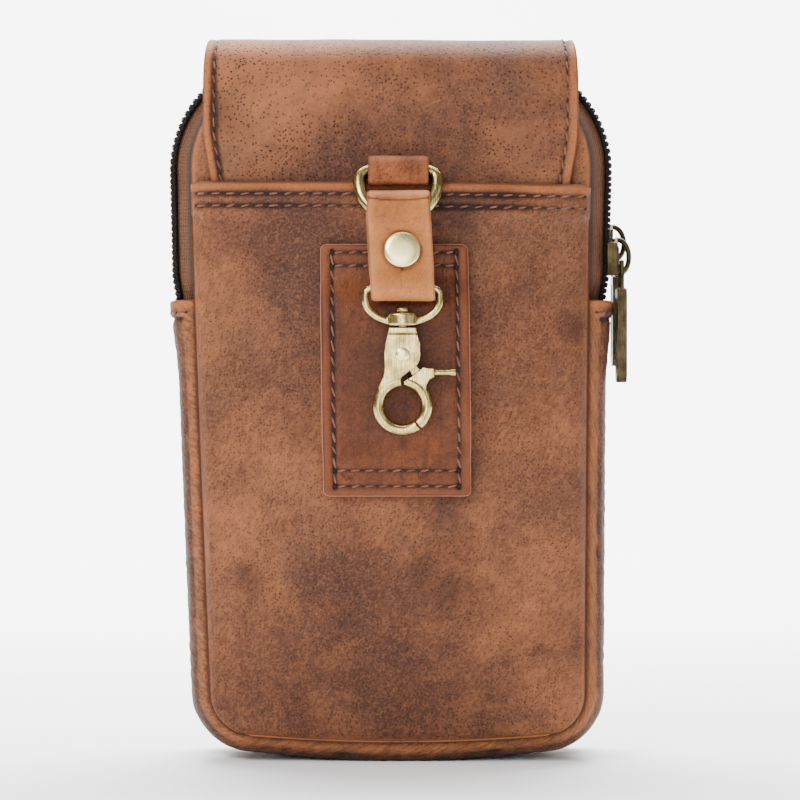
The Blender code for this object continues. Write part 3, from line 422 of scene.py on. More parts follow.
def modified(thing: bpy.types.Object, kind: str, **settings: Any) -> None:
    """Changes an object's mesh by one modifier."""
    modifier = thing.modifiers.new(kind.lower(), kind)
    for key, value in settings.items():
        setattr(modifier, key, value)
    bpy.context.view_layer.update()
    graph = bpy.context.evaluated_depsgraph_get()
    mesh = bpy.data.meshes.new_from_object(thing.evaluated_get(graph))
    old = thing.data
    thing.modifiers.clear()
    thing.data = mesh
    bpy.data.meshes.remove(old)
    mesh.name = thing.name


@dataclass
class Casting:
    """A cast metal piece: bodies melted together, with soft edges.

    Attributes:
        name: the piece's name.
        lumps: the bodies, in millimetres, about the piece's own point.
        centre: that point, in metres, in the bag's frame.
        voxel: finest detail, in millimetres.
        soften: how often the surface is smoothed.
        cuts: bodies to take away.
    """

    name: str
    lumps: Lumps
    centre: Array
    voxel: float = 0.15
    soften: int = 6
    cuts: Lumps | None = None

    @staticmethod
    def centred(lumps: Lumps, name: str) -> bpy.types.Object:
        """The bodies as a mesh about their own point."""
        thing = lumps.object(name)
        thing.data.transform(Matrix.Translation(-Vector(TO_FRAME)))
        return thing

    def build(self) -> bpy.types.Object:
        """Melts, cuts, smooths and places the piece."""
        thing = self.centred(self.lumps, self.name)
        modified(thing, "REMESH", mode="VOXEL", voxel_size=self.voxel)
        if self.cuts:
            tool = self.centred(self.cuts, f"{self.name}_cut")
            modified(thing, "BOOLEAN", operation="DIFFERENCE", solver="EXACT", object=tool)
            bpy.data.objects.remove(tool)
            modified(thing, "REMESH", mode="VOXEL", voxel_size=self.voxel)
        modified(thing, "SMOOTH", factor=0.5, iterations=self.soften)
        count = len(thing.data.vertices)
        spots = np.empty(count * 3, np.float32)
        thing.data.vertices.foreach_get("co", spots)
        spots = spots.reshape(-1, 3) * MM + self.centre + TO_FRAME
        thing.data.vertices.foreach_set("co", spots.astype(np.float32).ravel())
        thing.data.polygons.foreach_set("use_smooth", [True] * len(thing.data.polygons))
        thing.data.update()
        return thing


def arc(
    centre: tuple[float, float], radius: float, start: float, end: float, steps: int
) -> list[tuple[float, float]]:
    """Points (x, z) along an arc, its angles in degrees from +X toward +Z."""
    angles = np.radians(np.linspace(start, end, steps + 1))
    return [(centre[0] + radius * math.cos(a), centre[1] + radius * math.sin(a)) for a in angles]


# Finishes


def display(red: float, green: float, blue: float) -> Colour:
    """An sRGB colour, 0 to 255, made linear."""

    def linear(value: float) -> float:
        """One channel."""
        share = value / 255
        return share / 12.92 if share <= 0.04045 else ((share + 0.055) / 1.055) ** 2.4

    return (linear(red), linear(green), linear(blue))


class Nodes:
    """A material's node tree, written step by step."""

    def __init__(self, name: str) -> None:
        """Starts a Principled material."""
        self.material = bpy.data.materials.new(name)
        self.material.use_nodes = True
        self.tree = self.material.node_tree
        self.shader = self.tree.nodes["Principled BSDF"]

    def add(self, kind: str, inputs: dict[Any, Any], **settings: Any) -> Any:
        """Adds a node, its inputs given as values or as sockets to link."""
        made = self.tree.nodes.new(kind)
        for key, value in settings.items():
            setattr(made, key, value)
        for key, value in inputs.items():
            self.feed(made.inputs[key], value)
        return made

    def feed(self, socket: Any, value: Any) -> None:
        """Sets or links one input."""
        if isinstance(value, bpy.types.NodeSocket):
            self.tree.links.new(value, socket)
        elif isinstance(value, tuple) and len(value) == 3 and socket.type == "RGBA":
            socket.default_value = (*value, 1.0)
        else:
            socket.default_value = value

    def place(self) -> Any:
        """The point on the object, in metres."""
        return self.add("ShaderNodeTexCoord", {}).outputs["Object"]

    def flat(self) -> Any:
        """The point on the sheet laid out flat, in metres."""
        return self.add("ShaderNodeUVMap", {}, uv_map="flat").outputs["UV"]

    def stored(self, name: str) -> Any:
        """A number kept on the mesh."""
        return self.add("ShaderNodeAttribute", {}, attribute_name=name).outputs["Fac"]

    def stretched(
        self, vector: Any, scale: tuple[float, float, float], turn: float = 0.0, flat: bool = False
    ) -> Any:
        """A vector scaled along each axis, after a turn about Y, or about Z on a flat layout."""
        rotation = (0.0, 0.0, turn) if flat else (0.0, turn, 0.0)
        inputs = {"Vector": vector, "Scale": scale, "Rotation": rotation}
        return self.add("ShaderNodeMapping", inputs, vector_type="TEXTURE").outputs["Vector"]

    def mark(self, vector: Any, mark: "Mark") -> Any:
        """1 in the middle of an oval mark, falling to 0 at its border."""
        middle = np.array((mark.x, mark.y, mark.z)) * MM + TO_FRAME
        size = (mark.half_length * MM, MARK_DEPTH, mark.half_width * MM)
        inputs = {"Vector": vector, "Location": tuple(middle), "Scale": size}
        inputs["Rotation"] = (0.0, -math.radians(mark.turn), 0.0)
        near = self.add("ShaderNodeMapping", inputs, vector_type="TEXTURE").outputs["Vector"]
        away = self.add("ShaderNodeVectorMath", {0: near}, operation="LENGTH").outputs["Value"]
        return self.band(away, 0.25, 1.0, 1.0, 0.0)

    def noise(
        self, vector: Any, scale: float, detail: float = 3.0, rough: float = 0.55, bend: float = 0.0
    ) -> Any:
        """Cloudy noise, 0 to 1."""
        inputs = {"Vector": vector, "Scale": scale, "Detail": detail, "Roughness": rough, "Distortion": bend}
        return self.add("ShaderNodeTexNoise", inputs).outputs["Fac"]

    def cells(self, vector: Any, scale: float, random: float) -> Any:
        """Distance to the nearest of scattered points."""
        inputs = {"Vector": vector, "Scale": scale, "Randomness": random}
        return self.add("ShaderNodeTexVoronoi", inputs).outputs["Distance"]

    def band(self, value: Any, low: float, high: float, start: float = 0.0, end: float = 1.0) -> Any:
        """A value mapped smoothly from low..high to start..end."""
        inputs = {"Value": value, "From Min": low, "From Max": high, "To Min": start, "To Max": end}
        return self.add("ShaderNodeMapRange", inputs, interpolation_type="SMOOTHSTEP").outputs["Result"]

    def ramp(self, value: Any, stops: Sequence[tuple[float, Colour]]) -> Any:
        """A colour from stops along a value."""
        made = self.add("ShaderNodeValToRGB", {"Fac": value})
        line = made.color_ramp
        while len(line.elements) < len(stops):
            line.elements.new(1.0)
        for element, (spot, colour) in zip(line.elements, stops):
            element.position = spot
            element.color = (*colour, 1.0)
        return made.outputs["Color"]

    def sum(self, *terms: tuple[Any, float]) -> Any:
        """Values times weights, added up."""
        total: Any = 0.0
        for value, weight in terms:
            node = self.add("ShaderNodeMath", {0: value, 1: weight, 2: total}, operation="MULTIPLY_ADD")
            total = node.outputs[0]
        return total

    def times(self, one: Any, other: Any) -> Any:
        """Two values multiplied."""
        return self.add("ShaderNodeMath", {0: one, 1: other}, operation="MULTIPLY").outputs[0]

    def mix(self, share: Any, one: Any, other: Any, blend: str = "MIX") -> Any:
        """Two colours blended."""
        made = self.add("ShaderNodeMix", {0: share, 6: one, 7: other}, data_type="RGBA", blend_type=blend)
        return made.outputs[2]

    def bump(self, height: Any, depth: float, strength: float) -> Any:
        """A bumped normal, its depth in metres."""
        inputs = {"Height": height, "Distance": depth, "Strength": strength}
        return self.add("ShaderNodeBump", inputs).outputs["Normal"]

    def finish(self, **inputs: Any) -> bpy.types.Material:
        """Feeds the shader, each input by its name with _ for a space."""
        for key, value in inputs.items():
            self.feed(self.shader.inputs[key.replace("_", " ")], value)
        return self.material


@dataclass(frozen=True)
class Mark:
    """A spot or a scratch on the belt side. Sizes are in millimetres, in the bag's frame."""

    x: float
    z: float
    half_length: float
    half_width: float
    turn: float = 0.0
    y: float = -19.0


class Recipe:
    """What every finish shares."""

    def material(self) -> bpy.types.Material:
        """Builds the node material."""
        raise NotImplementedError

    def finish(self, slot: str) -> Finish:
        """The material together with the record's slot for it."""
        return Finish(self.material(), slot)


@dataclass(frozen=True)
class LeatherFinish(Recipe):
    """Waxed vintage leather with pebble grain, pores, clouds and rubbed edges, and painted shade in crevices,
    grooves and seams.

    Attributes:
        name: the material's name.
        dark: rubbed dark clouds, and the colour of the painted shade.
        mid: the leather's main colour.
        light: worn places.
        grey: the cool cast of the smudges.
        edge: the colour along turned edges.
        rim: the cut edge itself.
        pores: pores for each metre.
        pore_depth: how dark the pores are.
        veins: how strong thin dark creases are.
        contrast: how strongly the clouds differ.
        streaks: how strong long dark streaks are.
        hatch: how strong the fine slanting creases are.
        hatch_turn: their turn on the sheet laid flat, in degrees.
        relief: how deep the grain is.
        gloss: roughness in the middle of the range.
        smudge: how strong the cool smudges are.
        spots: dark spots.
        scratches: pale scratches.
    """

    name: str
    dark: Colour
    mid: Colour
    light: Colour
    grey: Colour
    edge: Colour
    rim: Colour
    pores: float = 1300.0
    pore_depth: float = 0.8
    veins: float = 0.25
    contrast: float = 0.72
    streaks: float = 0.0
    hatch: float = 0.6
    hatch_turn: float = -35.0
    relief: float = 1.0
    gloss: float = 0.58
    smudge: float = 0.45
    spots: tuple[Mark, ...] = ()
    scratches: tuple[Mark, ...] = ()

    def clouds(self, nodes: Nodes, place: Any, patch: Any) -> Any:
        """Colour of the leather without its grain."""
        cloud = nodes.noise(place, 26.0, 3.0, 0.5, 0.6)
        fleck = nodes.noise(place, 430.0, 3.0, 0.6)
        # The stored tone adds the leather's clouds and, on some pieces, painted light and shade.
        tone = nodes.sum((cloud, 0.46), (patch, 0.34), (fleck, 0.2), (nodes.stored("tone"), 0.075))
        half = 0.17 / self.contrast
        tone = nodes.band(tone, 0.5 - half, 0.5 + half)
        colour = nodes.ramp(tone, ((0.0, self.dark), (0.5, self.mid), (1.0, self.light)))
        moved = nodes.stretched(place, (1.0, 1.0, 1.3), 0.5)
        smoke = nodes.band(nodes.noise(moved, 38.0, 5.0, 0.6, 0.6), 0.48, 0.68)
        colour = nodes.mix(nodes.times(smoke, self.smudge), colour, self.grey)
        if self.streaks:
            lines = nodes.noise(nodes.stretched(place, (0.25, 1.0, 3.4)), 130.0, 5.0, 0.65, 0.5)
            lines = nodes.band(lines, 0.5, 0.66)
            colour = nodes.mix(nodes.times(lines, self.streaks), colour, self.dark)
        for mark in self.spots:
            share = nodes.times(nodes.mark(place, mark), nodes.band(fleck, 0.3, 0.6, 0.4, 0.9))
            colour = nodes.mix(share, colour, self.dark)
        return colour

    def material(self) -> bpy.types.Material:
        """Builds the node material."""
        nodes = Nodes(self.name)
        place = nodes.place()
        patch = nodes.noise(place, 95.0, 4.0, 0.6, 0.3)
        colour = self.clouds(nodes, place, patch)
        turned = nodes.stretched(nodes.flat(), (0.6, 1.9, 1.0), math.radians(self.hatch_turn), True)
        hatch = nodes.noise(turned, 720.0, 2.0, 0.5, 0.2)
        dense = nodes.band(nodes.noise(place, 60.0, 2.0), 0.35, 0.62, 0.65, 1.0)
        # Painted shade along the fine creases.
        shaded = nodes.band(hatch, 0.4, 0.62, 0.0, self.hatch)
        colour = nodes.mix(nodes.times(shaded, 0.42), colour, self.dark, "MULTIPLY")
        vein = nodes.noise(nodes.stretched(place, (0.5, 1.0, 1.8), 0.25), 80.0, 4.0, 0.55, 0.4)
        vein = nodes.sum((vein, 1.0), (1.0, -0.5))
        vein = nodes.add("ShaderNodeMath", {0: vein}, operation="ABSOLUTE").outputs[0]
        shown = nodes.band(patch, 0.45, 0.6, 0.0, self.veins)
        vein = nodes.times(nodes.band(vein, 0.002, 0.012, 1.0, 0.0), shown)
        colour = nodes.mix(vein, colour, self.dark)
        pore = nodes.band(nodes.cells(place, self.pores, 0.85), 0.14, 0.36, 1.0, 0.0)
        pore = nodes.times(pore, dense)
        colour = nodes.mix(nodes.times(pore, self.pore_depth), colour, self.dark, "MULTIPLY")
        fine = nodes.noise(place, 1500.0, 2.0, 0.6)
        colour = nodes.mix(nodes.band(fine, 0.42, 0.72, 0.0, 0.3), colour, self.light)
        for mark in self.scratches:
            colour = nodes.mix(nodes.times(nodes.mark(place, mark), 0.75), colour, self.edge)
        worn = nodes.sum((nodes.stored("edge"), 1.0), (nodes.noise(place, 160.0, 3.0), 0.0016))
        worn = nodes.band(worn, 0.0012, 0.0034, 1.0, 0.0)
        colour = nodes.mix(nodes.times(worn, 0.5), colour, self.edge)
        # Painted shade: crevices found by ambient occlusion, and grooves and seams from the stored value, are
        # darkened.
        crevice_shade = nodes.add("ShaderNodeAmbientOcclusion", {"Distance": 0.0028}, samples=6).outputs["AO"]
        crevice_shade = nodes.band(crevice_shade, 0.25, 0.85, 0.6, 0.0)
        colour = nodes.mix(crevice_shade, colour, self.dark, "MULTIPLY")
        dip = nodes.band(nodes.stored("dip"), 0.1, 1.0)
        colour = nodes.mix(nodes.times(dip, 0.85), colour, self.dark, "MULTIPLY")
        colour = nodes.mix(nodes.stored("rim"), colour, self.rim)
        height = nodes.sum((pore, -0.8), (fine, 0.35), (hatch, 0.55 * self.hatch), (patch, 0.5))
        pebble = nodes.cells(place, 1.25 * self.pores, 1.0)
        height = nodes.sum((height, 1.0), (pebble, -0.3))
        normal = nodes.bump(height, 0.00016 * self.relief, 0.8)
        rough = nodes.sum((patch, 0.25), (pore, 0.1), (1.0, self.gloss - 0.12))
        return nodes.finish(Base_Color=colour, Roughness=rough, Normal=normal, Specular_IOR_Level=0.18)


@dataclass(frozen=True)
class ClothFinish(Recipe):
    """Woven zip tape, brown with lighter flecks, and painted shade in the furrow beside the leather.

    Attributes:
        name: the material's name.
        dark: the threads' shaded colour.
        light: the threads' lit colour.
        deep: the colour of the painted shade in the furrow beside the leather.
        threads: threads for each metre.
    """

    name: str
    dark: Colour
    light: Colour
    deep: Colour
    threads: float = 1900.0

    def material(self) -> bpy.types.Material:
        """Builds the node material."""
        nodes = Nodes(self.name)
        flat = nodes.flat()
        waves = {"Vector": flat, "Scale": self.threads / 6.3, "Distortion": 1.2}
        warp = nodes.add("ShaderNodeTexWave", waves, bands_direction="X")
        waves["Scale"] = self.threads / 5.2
        weft = nodes.add("ShaderNodeTexWave", waves, bands_direction="Y")
        weave = nodes.times(warp.outputs["Fac"], nodes.band(weft.outputs["Fac"], 0.0, 1.0, 0.35, 1.0))
        fleck = nodes.noise(flat, 1500.0, 3.0, 0.7)
        tone = nodes.sum((weave, 0.3), (fleck, 1.25), (nodes.noise(flat, 90.0), 0.25))
        colour = nodes.ramp(nodes.band(tone, 0.5, 1.05), ((0.0, self.dark), (1.0, self.light)))
        # Painted shade in the furrow beside the leather.
        colour = nodes.mix(nodes.stored("dip"), colour, self.deep)
        height = nodes.sum((weave, 1.0), (fleck, 0.5))
        return nodes.finish(Base_Color=colour, Roughness=0.95, Normal=nodes.bump(height, 0.00012, 0.9))


@dataclass(frozen=True)
class ThreadFinish(Recipe):
    """Waxed sewing thread with its twist.

    Attributes:
        name: the material's name.
        dark: the shaded colour.
        light: the lit colour.
        gloss: roughness.
    """

    name: str
    dark: Colour
    light: Colour
    gloss: float = 0.5

    def material(self) -> bpy.types.Material:
        """Builds the node material."""
        nodes = Nodes(self.name)
        place = nodes.place()
        twist = nodes.noise(nodes.stretched(place, (1.0, 1.0, 2.4), 0.8), 2200.0, 2.0)
        patch = nodes.noise(place, 240.0, 3.0)
        tone = nodes.band(nodes.sum((twist, 0.6), (patch, 0.7)), 0.35, 0.95)
        colour = nodes.ramp(tone, ((0.0, self.dark), (1.0, self.light)))
        return nodes.finish(Base_Color=colour, Roughness=self.gloss, Normal=nodes.bump(twist, 0.0001, 0.7))


@dataclass(frozen=True)
class BrassFinish(Recipe):
    """Antique brass: pale on the raised faces, dark in the corners with patina and painted shade, brushed one
    way.

    Attributes:
        name: the material's name.
        bright: rubbed metal.
        dull: the thin patina.
        dark: the patina left in the recesses, also serving as painted shade there.
        brushed: how deep the brushing is.
        gloss: roughness.
        recess: reach of the dark corners, in metres.
        cover: how much of the metal the patina covers.
    """

    name: str
    bright: Colour
    dull: Colour
    dark: Colour
    brushed: float = 0.6
    gloss: float = 0.26
    recess: float = 0.0012
    cover: float = 0.5

    def material(self) -> bpy.types.Material:
        """Builds the node material."""
        nodes = Nodes(self.name)
        place = nodes.place()
        brush = nodes.noise(nodes.stretched(place, (0.09, 0.4, 3.0)), 420.0, 3.0, 0.6)
        patch = nodes.noise(place, 260.0, 4.0, 0.6)
        colour = nodes.mix(nodes.band(patch, 0.35, 0.75, 0.0, self.cover), self.bright, self.dull)
        colour = nodes.mix(nodes.band(brush, 0.42, 0.6, 0.0, 0.85 * self.brushed), colour, self.dull)
        # Recesses found by ambient occlusion are darkened: patina and painted shade.
        open_share = nodes.add(
            "ShaderNodeAmbientOcclusion", {"Distance": self.recess}, samples=8, only_local=True
        ).outputs["AO"]
        colour = nodes.mix(nodes.band(open_share, 0.3, 0.85, 1.0, 0.0), colour, self.dark)
        rough = nodes.sum((patch, 0.16), (brush, 0.12), (1.0, self.gloss - 0.14))
        normal = nodes.bump(nodes.sum((brush, self.brushed), (patch, 0.3)), 0.00007, 0.6)
        return nodes.finish(Base_Color=colour, Metallic=1.0, Roughness=rough, Normal=normal)


@dataclass(frozen=True)
class PlainFinish(Recipe):
    """A quiet surface: lining, coil, painted shade in stitch holes, or floor.

    Attributes:
        name: the material's name.
        dark: the lower colour of its faint mottling.
        light: the upper one.
        gloss: roughness.
        scale: mottles for each metre.
        depth: depth of its fine bump, in metres.
        shine: how strongly it mirrors.
    """

    name: str
    dark: Colour
    light: Colour
    gloss: float = 0.6
    scale: float = 300.0
    depth: float = 0.00004
    shine: float = 0.5

    def material(self) -> bpy.types.Material:
        """Builds the node material."""
        nodes = Nodes(self.name)
        cloud = nodes.noise(nodes.place(), self.scale, 3.0)
        colour = nodes.ramp(nodes.band(cloud, 0.3, 0.7), ((0.0, self.dark), (1.0, self.light)))
        normal = nodes.bump(cloud, self.depth, 0.4)
        return nodes.finish(
            Base_Color=colour, Roughness=self.gloss, Normal=normal, Specular_IOR_Level=self.shine
        )


class Finishes:
    """Every finish of the bag, each made once."""

    def __init__(self) -> None:
        """Makes the materials."""
        main = LeatherFinish(
            "brown_leather",
            dark=display(66, 38, 27),
            mid=display(112, 68, 43),
            light=display(148, 91, 56),
            grey=display(84, 57, 42),
            edge=display(164, 96, 52),
            rim=display(100, 56, 33),
            spots=(
                Mark(-11.2, 160.2, 1.6, 0.8, 30.0),
                Mark(-30.0, 65.5, 0.9, 0.7),
                Mark(-46.0, 56.0, 1.1, 2.6, 10.0),
                Mark(-16.0, 51.0, 5.5, 3.0, 25.0),
                Mark(-20.0, 47.5, 2.4, 1.6, -20.0),
                Mark(-5.0, 17.0, 4.4, 2.0, 50.0),
                Mark(30.0, 90.0, 2.6, 1.2, -30.0),
                Mark(38.0, 30.0, 3.4, 1.3, 40.0),
            ),
            scratches=(
                Mark(-38.4, 175.0, 2.1, 0.16, 60.0),
                Mark(-27.0, 156.0, 2.6, 0.13, 40.0),
                Mark(-28.6, 36.0, 1.7, 0.15, -20.0),
                Mark(12.0, 171.0, 3.0, 0.12, 20.0),
                Mark(34.0, 60.0, 2.8, 0.13, 70.0),
                Mark(-8.0, 32.0, 2.2, 0.12, 35.0),
            ),
        )
        self.leather = main.finish("brown_leather")
        flap = replace(main, name="flap_leather", hatch=0.12, pores=1050.0, pore_depth=1.0)
        self.flap = flap.finish("brown_leather")
        self.band = replace(
            main,
            name="band_leather",
            hatch=1.0,
            hatch_turn=60.0,
            pores=1600.0,
            pore_depth=0.4,
            veins=0.6,
            relief=1.3,
        ).finish("brown_leather")
        self.patch = LeatherFinish(
            "dark_leather",
            dark=display(46, 22, 12),
            mid=display(86, 44, 22),
            light=display(118, 64, 32),
            grey=display(72, 38, 22),
            edge=display(120, 64, 36),
            rim=display(176, 118, 96),
            pores=1500.0,
            pore_depth=0.4,
            veins=0.8,
            streaks=0.45,
            hatch=0.3,
            relief=0.7,
            gloss=0.48,
            smudge=0.35,
        ).finish("dark_leather")
        self.strap = LeatherFinish(
            "tan_leather",
            dark=display(112, 62, 32),
            mid=display(160, 98, 50),
            light=display(180, 116, 64),
            grey=display(138, 84, 48),
            edge=display(178, 116, 66),
            rim=display(140, 90, 74),
            pores=1500.0,
            pore_depth=0.3,
            hatch=0.25,
            relief=0.5,
            gloss=0.5,
            smudge=0.3,
        ).finish("tan_leather")
        self.tab = LeatherFinish(
            "tab_leather",
            dark=display(72, 34, 18),
            mid=display(128, 70, 38),
            light=display(158, 92, 52),
            grey=display(100, 54, 32),
            edge=display(138, 78, 44),
            rim=display(104, 56, 34),
            pores=1700.0,
            relief=0.8,
            smudge=0.4,
        ).finish("tan_leather")
        lining = PlainFinish("lining_leather", display(56, 36, 28), display(80, 52, 38), 0.85, 500.0)
        self.lining = lining.finish("lining_leather")
        cloth = ClothFinish("zip_cloth", display(36, 18, 9), display(112, 70, 42), display(10, 5, 3))
        self.tape = cloth.finish("zip_cloth")
        coil = PlainFinish("zip_coil", display(9, 5, 4), display(20, 12, 9), 0.6, 900.0, shine=0.2)
        self.coil = coil.finish("zip_coil")
        coil_thread = ThreadFinish("coil_thread", display(66, 42, 34), display(128, 92, 76), 0.6)
        self.coil_thread = coil_thread.finish("zip_coil")
        thread = ThreadFinish("seam_thread", display(70, 36, 25), display(128, 76, 57), 0.55)
        self.thread = thread.finish("brown_leather")
        # Dark discs at the stitch holes: painted shade.
        self.hole_shade = PlainFinish("stitch_hole_shade", display(22, 12, 8), display(36, 19, 14), 0.9, 900.0).material()
        self.brass = BrassFinish(
            "antique_brass",
            bright=display(226, 202, 132),
            dull=display(92, 77, 46),
            dark=display(20, 15, 8),
            gloss=0.24,
            recess=0.0022,
            cover=0.7,
        ).finish("antique_brass")
        self.cap = BrassFinish(
            "rivet_brass",
            bright=display(255, 238, 172),
            dull=display(248, 222, 148),
            dark=display(60, 44, 24),
            brushed=0.15,
            gloss=0.3,
            recess=0.0005,
            cover=0.3,
        ).finish("antique_brass")
        self.dark_brass = BrassFinish(
            "dark_brass",
            bright=display(88, 74, 50),
            dull=display(32, 27, 19),
            dark=display(9, 7, 5),
            brushed=0.5,
            gloss=0.36,
            recess=0.0016,
            cover=1.0,
        ).finish("dark_brass")
        floor = PlainFinish("pale_floor", display(251, 251, 251), display(253, 253, 253), 0.9, 3.0, 0.0001)
        self.floor = floor.material()


# The bag's outline and faces


@dataclass(frozen=True)
class Outline:
    """The seam line of the panels and the faces between them.

    Attributes:
        top: height of the seam over the top.
        rise: height of the seam under the base.
        half_base: half width of the straight sides at the base.
        half_top: the same at the top.
        base_corner: radius of the lower corners.
        base_lift: how far the base curves up at its ends.
        lift_fade: height over which that fades.
        lean: how far the bag's foot stands to the right.
        lean_from: height at which the lean starts.
        lean_over: height over which it reaches that.
        top_corner: radius of the upper corners.
        hem_top: height at which the gusset ends and the zip starts.
    """

    top: float = 178.6 * MM
    rise: float = 5.6 * MM
    half_base: float = 48.4 * MM
    half_top: float = 52.4 * MM
    base_corner: float = 9.8 * MM
    base_lift: float = 2.7 * MM
    lift_fade: float = 60.0 * MM
    lean: float = 1.8 * MM
    lean_from: float = 135.0 * MM
    lean_over: float = 120.0 * MM
    top_corner: float = 24.5 * MM
    hem_top: float = 119.6 * MM
    rear_seam: float = -18.0 * MM
    front_seam: float = 16.0 * MM
    panel_leather: float = 1.5 * MM
    divider: float = 1.2 * MM
    rear_dome: float = 1.5 * MM
    front_dome: float = 2.0 * MM
    flap_leather: float = 1.5 * MM
    flap_half: float = 48.0 * MM
    tab_leather: float = 1.0 * MM
    pocket_leather: float = 1.1 * MM
    pocket_hem: float = 2.3 * MM
    pocket_top: float = 149.0 * MM
    pocket_hem_length: float = 7.0 * MM
    ring_x: float = 2.0 * MM

    def side(self, z: Array) -> Array:
        """Half width of the straight sides at a height."""
        return self.half_base + (self.half_top - self.half_base) * (z - self.rise) / (self.top - self.rise)

    def spread(self, heights: Array, share: Array) -> tuple[Array, Array]:
        """x and z of a panel's points, from its heights and its shares of the half width."""
        z = np.broadcast_to(heights[:, None], (len(heights), len(share)))
        return share[None, :] * self.half_width(z), z

    def corners(self) -> tuple[tuple[float, float], tuple[float, float]]:
        """Centres (x, z) of the lower and of the upper corner on the right."""
        low = self.rise + self.base_corner
        high = self.top - self.top_corner
        return (self.side(low) - self.base_corner, low), (self.side(high) - self.top_corner, high)

    def half_width(self, z: Array) -> Array:
        """Half width of the panels at a height, round corners included."""
        low, high = self.corners()
        below = low[0] + np.sqrt(np.maximum(self.base_corner**2 - (low[1] - z) ** 2, 0.0))
        above = high[0] + np.sqrt(np.maximum(self.top_corner**2 - (z - high[1]) ** 2, 0.0))
        return np.where(z < low[1], below, np.where(z > high[1], above, self.side(z)))

    def stations(self) -> Array:
        """The right half of the seam from the middle of the base, as (x, z, outward x, outward z)."""
        low, high = self.corners()
        lean = -math.atan2(self.half_top - self.half_base, self.top - self.rise)
        rows = [(x, self.rise, 0.0, -1.0) for x in np.linspace(0.0, low[0], 60)]
        for angle in np.linspace(-math.pi / 2, lean, 40):
            x = low[0] + self.base_corner * math.cos(angle)
            rows.append((x, low[1] + self.base_corner * math.sin(angle), math.cos(angle), math.sin(angle)))
        for z in np.linspace(low[1], high[1], 200)[1:-1]:
            rows.append((float(self.side(z)), z, math.cos(lean), math.sin(lean)))
        for angle in np.linspace(lean, math.pi / 2, 60):
            x = high[0] + self.top_corner * math.cos(angle)
            rows.append((x, high[1] + self.top_corner * math.sin(angle), math.cos(angle), math.sin(angle)))
        rows += [(x, self.top, 0.0, 1.0) for x in np.linspace(high[0], 0.0, 40)[1:]]
        return np.asarray(rows)

    def run(self, from_base: bool, end_height: float, spacing: float) -> Array:
        """A run of the seam from one side to the other, evenly spaced, as stations.

        Args:
            from_base: True round the base, False over the top.
            end_height: height of both ends.
            spacing: distance between stations.

        Returns:
            Stations from the left end to the right end (base) or the same over the top.
        """
        half = self.stations()
        if from_base:
            half = half[half[:, 1] <= end_height]
            half = np.concatenate([half, [self.station_at(end_height)]])
        else:
            half = half[half[:, 1] >= end_height][::-1]
            half = np.concatenate([half, [self.station_at(end_height)]])
        left = half[:0:-1] * (-1.0, 1.0, -1.0, 1.0)
        whole = np.concatenate([left, half])
        run = along(whole[:, :2])
        spots = np.linspace(0.0, run[-1], max(2, round(run[-1] / spacing) + 1))
        made = np.stack([np.interp(spots, run, axis) for axis in whole.T], axis=1)
        made[:, 2:] = unit(made[:, 2:])
        return made

    def set_down(self, points: Array) -> Array:
        """Points of the upright shape once the base curves up at its ends and the bag leans a little."""
        x, y, z = np.moveaxis(np.asarray(points), -1, 0)
        share = np.minimum(np.abs(x) / self.half_base, 1.0)
        lifted = z + self.base_lift * share**2 * (1 - ease((z - self.rise) / self.lift_fade))
        leaning = self.lean * np.maximum((self.lean_from - z) / self.lean_over, 0.0) ** 1.2
        return joined(x + leaning, y, np.maximum(lifted, 0.0))

    def station_at(self, z: float) -> tuple[float, float, float, float]:
        """The station of the straight right side at a height."""
        lean = -math.atan2(self.half_top - self.half_base, self.top - self.rise)
        return (float(self.side(z)), z, math.cos(lean), math.sin(lean))

    def dome(self, x: Array, z: Array) -> Array:
        """Share of a panel's swelling: 1 in the middle and 0 on the seams."""
        middle = (self.top + self.rise) / 2
        across = np.abs(x) / self.side(z)
        upward = np.abs(z - middle) / (self.top - middle)
        return np.maximum(1 - across**3, 0.0) * np.maximum(1 - upward**4, 0.0)

    def back_face(self, x: Array, z: Array) -> Array:
        """Outer face of the back panel."""
        return self.rear_seam - self.panel_leather - self.rear_dome * self.dome(x, z)

    def front_face(self, x: Array, z: Array) -> Array:
        """Outer face of the front panel."""
        return self.front_seam + self.panel_leather + self.front_dome * self.dome(x, z)

    def pocket_room(self, x: Array, z: Array) -> Array:
        """Space between the back panel and the slip pocket."""
        inside = self.half_width(z) - np.abs(x)
        rim = ease(inside / (self.half_width(z) - self.flap_half + 1 * MM))
        middle = 1 - np.minimum(np.abs(x - self.ring_x) / (0.8 * self.flap_half), 1.0) ** 3
        upward = ease((z - self.rise) / (0.55 * (self.pocket_top - self.rise)))
        under_tab = 2 * self.tab_leather + 0.2 * MM + GAP
        return GAP + ((self.flap_leather + GAP) * rim + under_tab * middle) * upward

    def pocket_thickness(self, z: Array) -> Array:
        """Thickness of the pocket, with a soft step where its hem is turned in."""
        edge = self.pocket_top - self.pocket_hem_length
        step = 1.5 * MM
        return self.pocket_leather + (self.pocket_hem - self.pocket_leather) * ease((z - edge + step) / step)

    def pocket_face(self, x: Array, z: Array) -> Array:
        """Outer face of the slip pocket."""
        return self.back_face(x, z) - self.pocket_room(x, z) - self.pocket_thickness(z)

    def lobe(self, lobe: Lobe) -> tuple[float, float]:
        """(near, far): the seams of a lobe, by its panel and by the divider."""
        if lobe is Lobe.REAR:
            return self.rear_seam + GAP, -self.divider / 2 - GAP
        return self.front_seam - GAP, self.divider / 2 + GAP


# Sewing


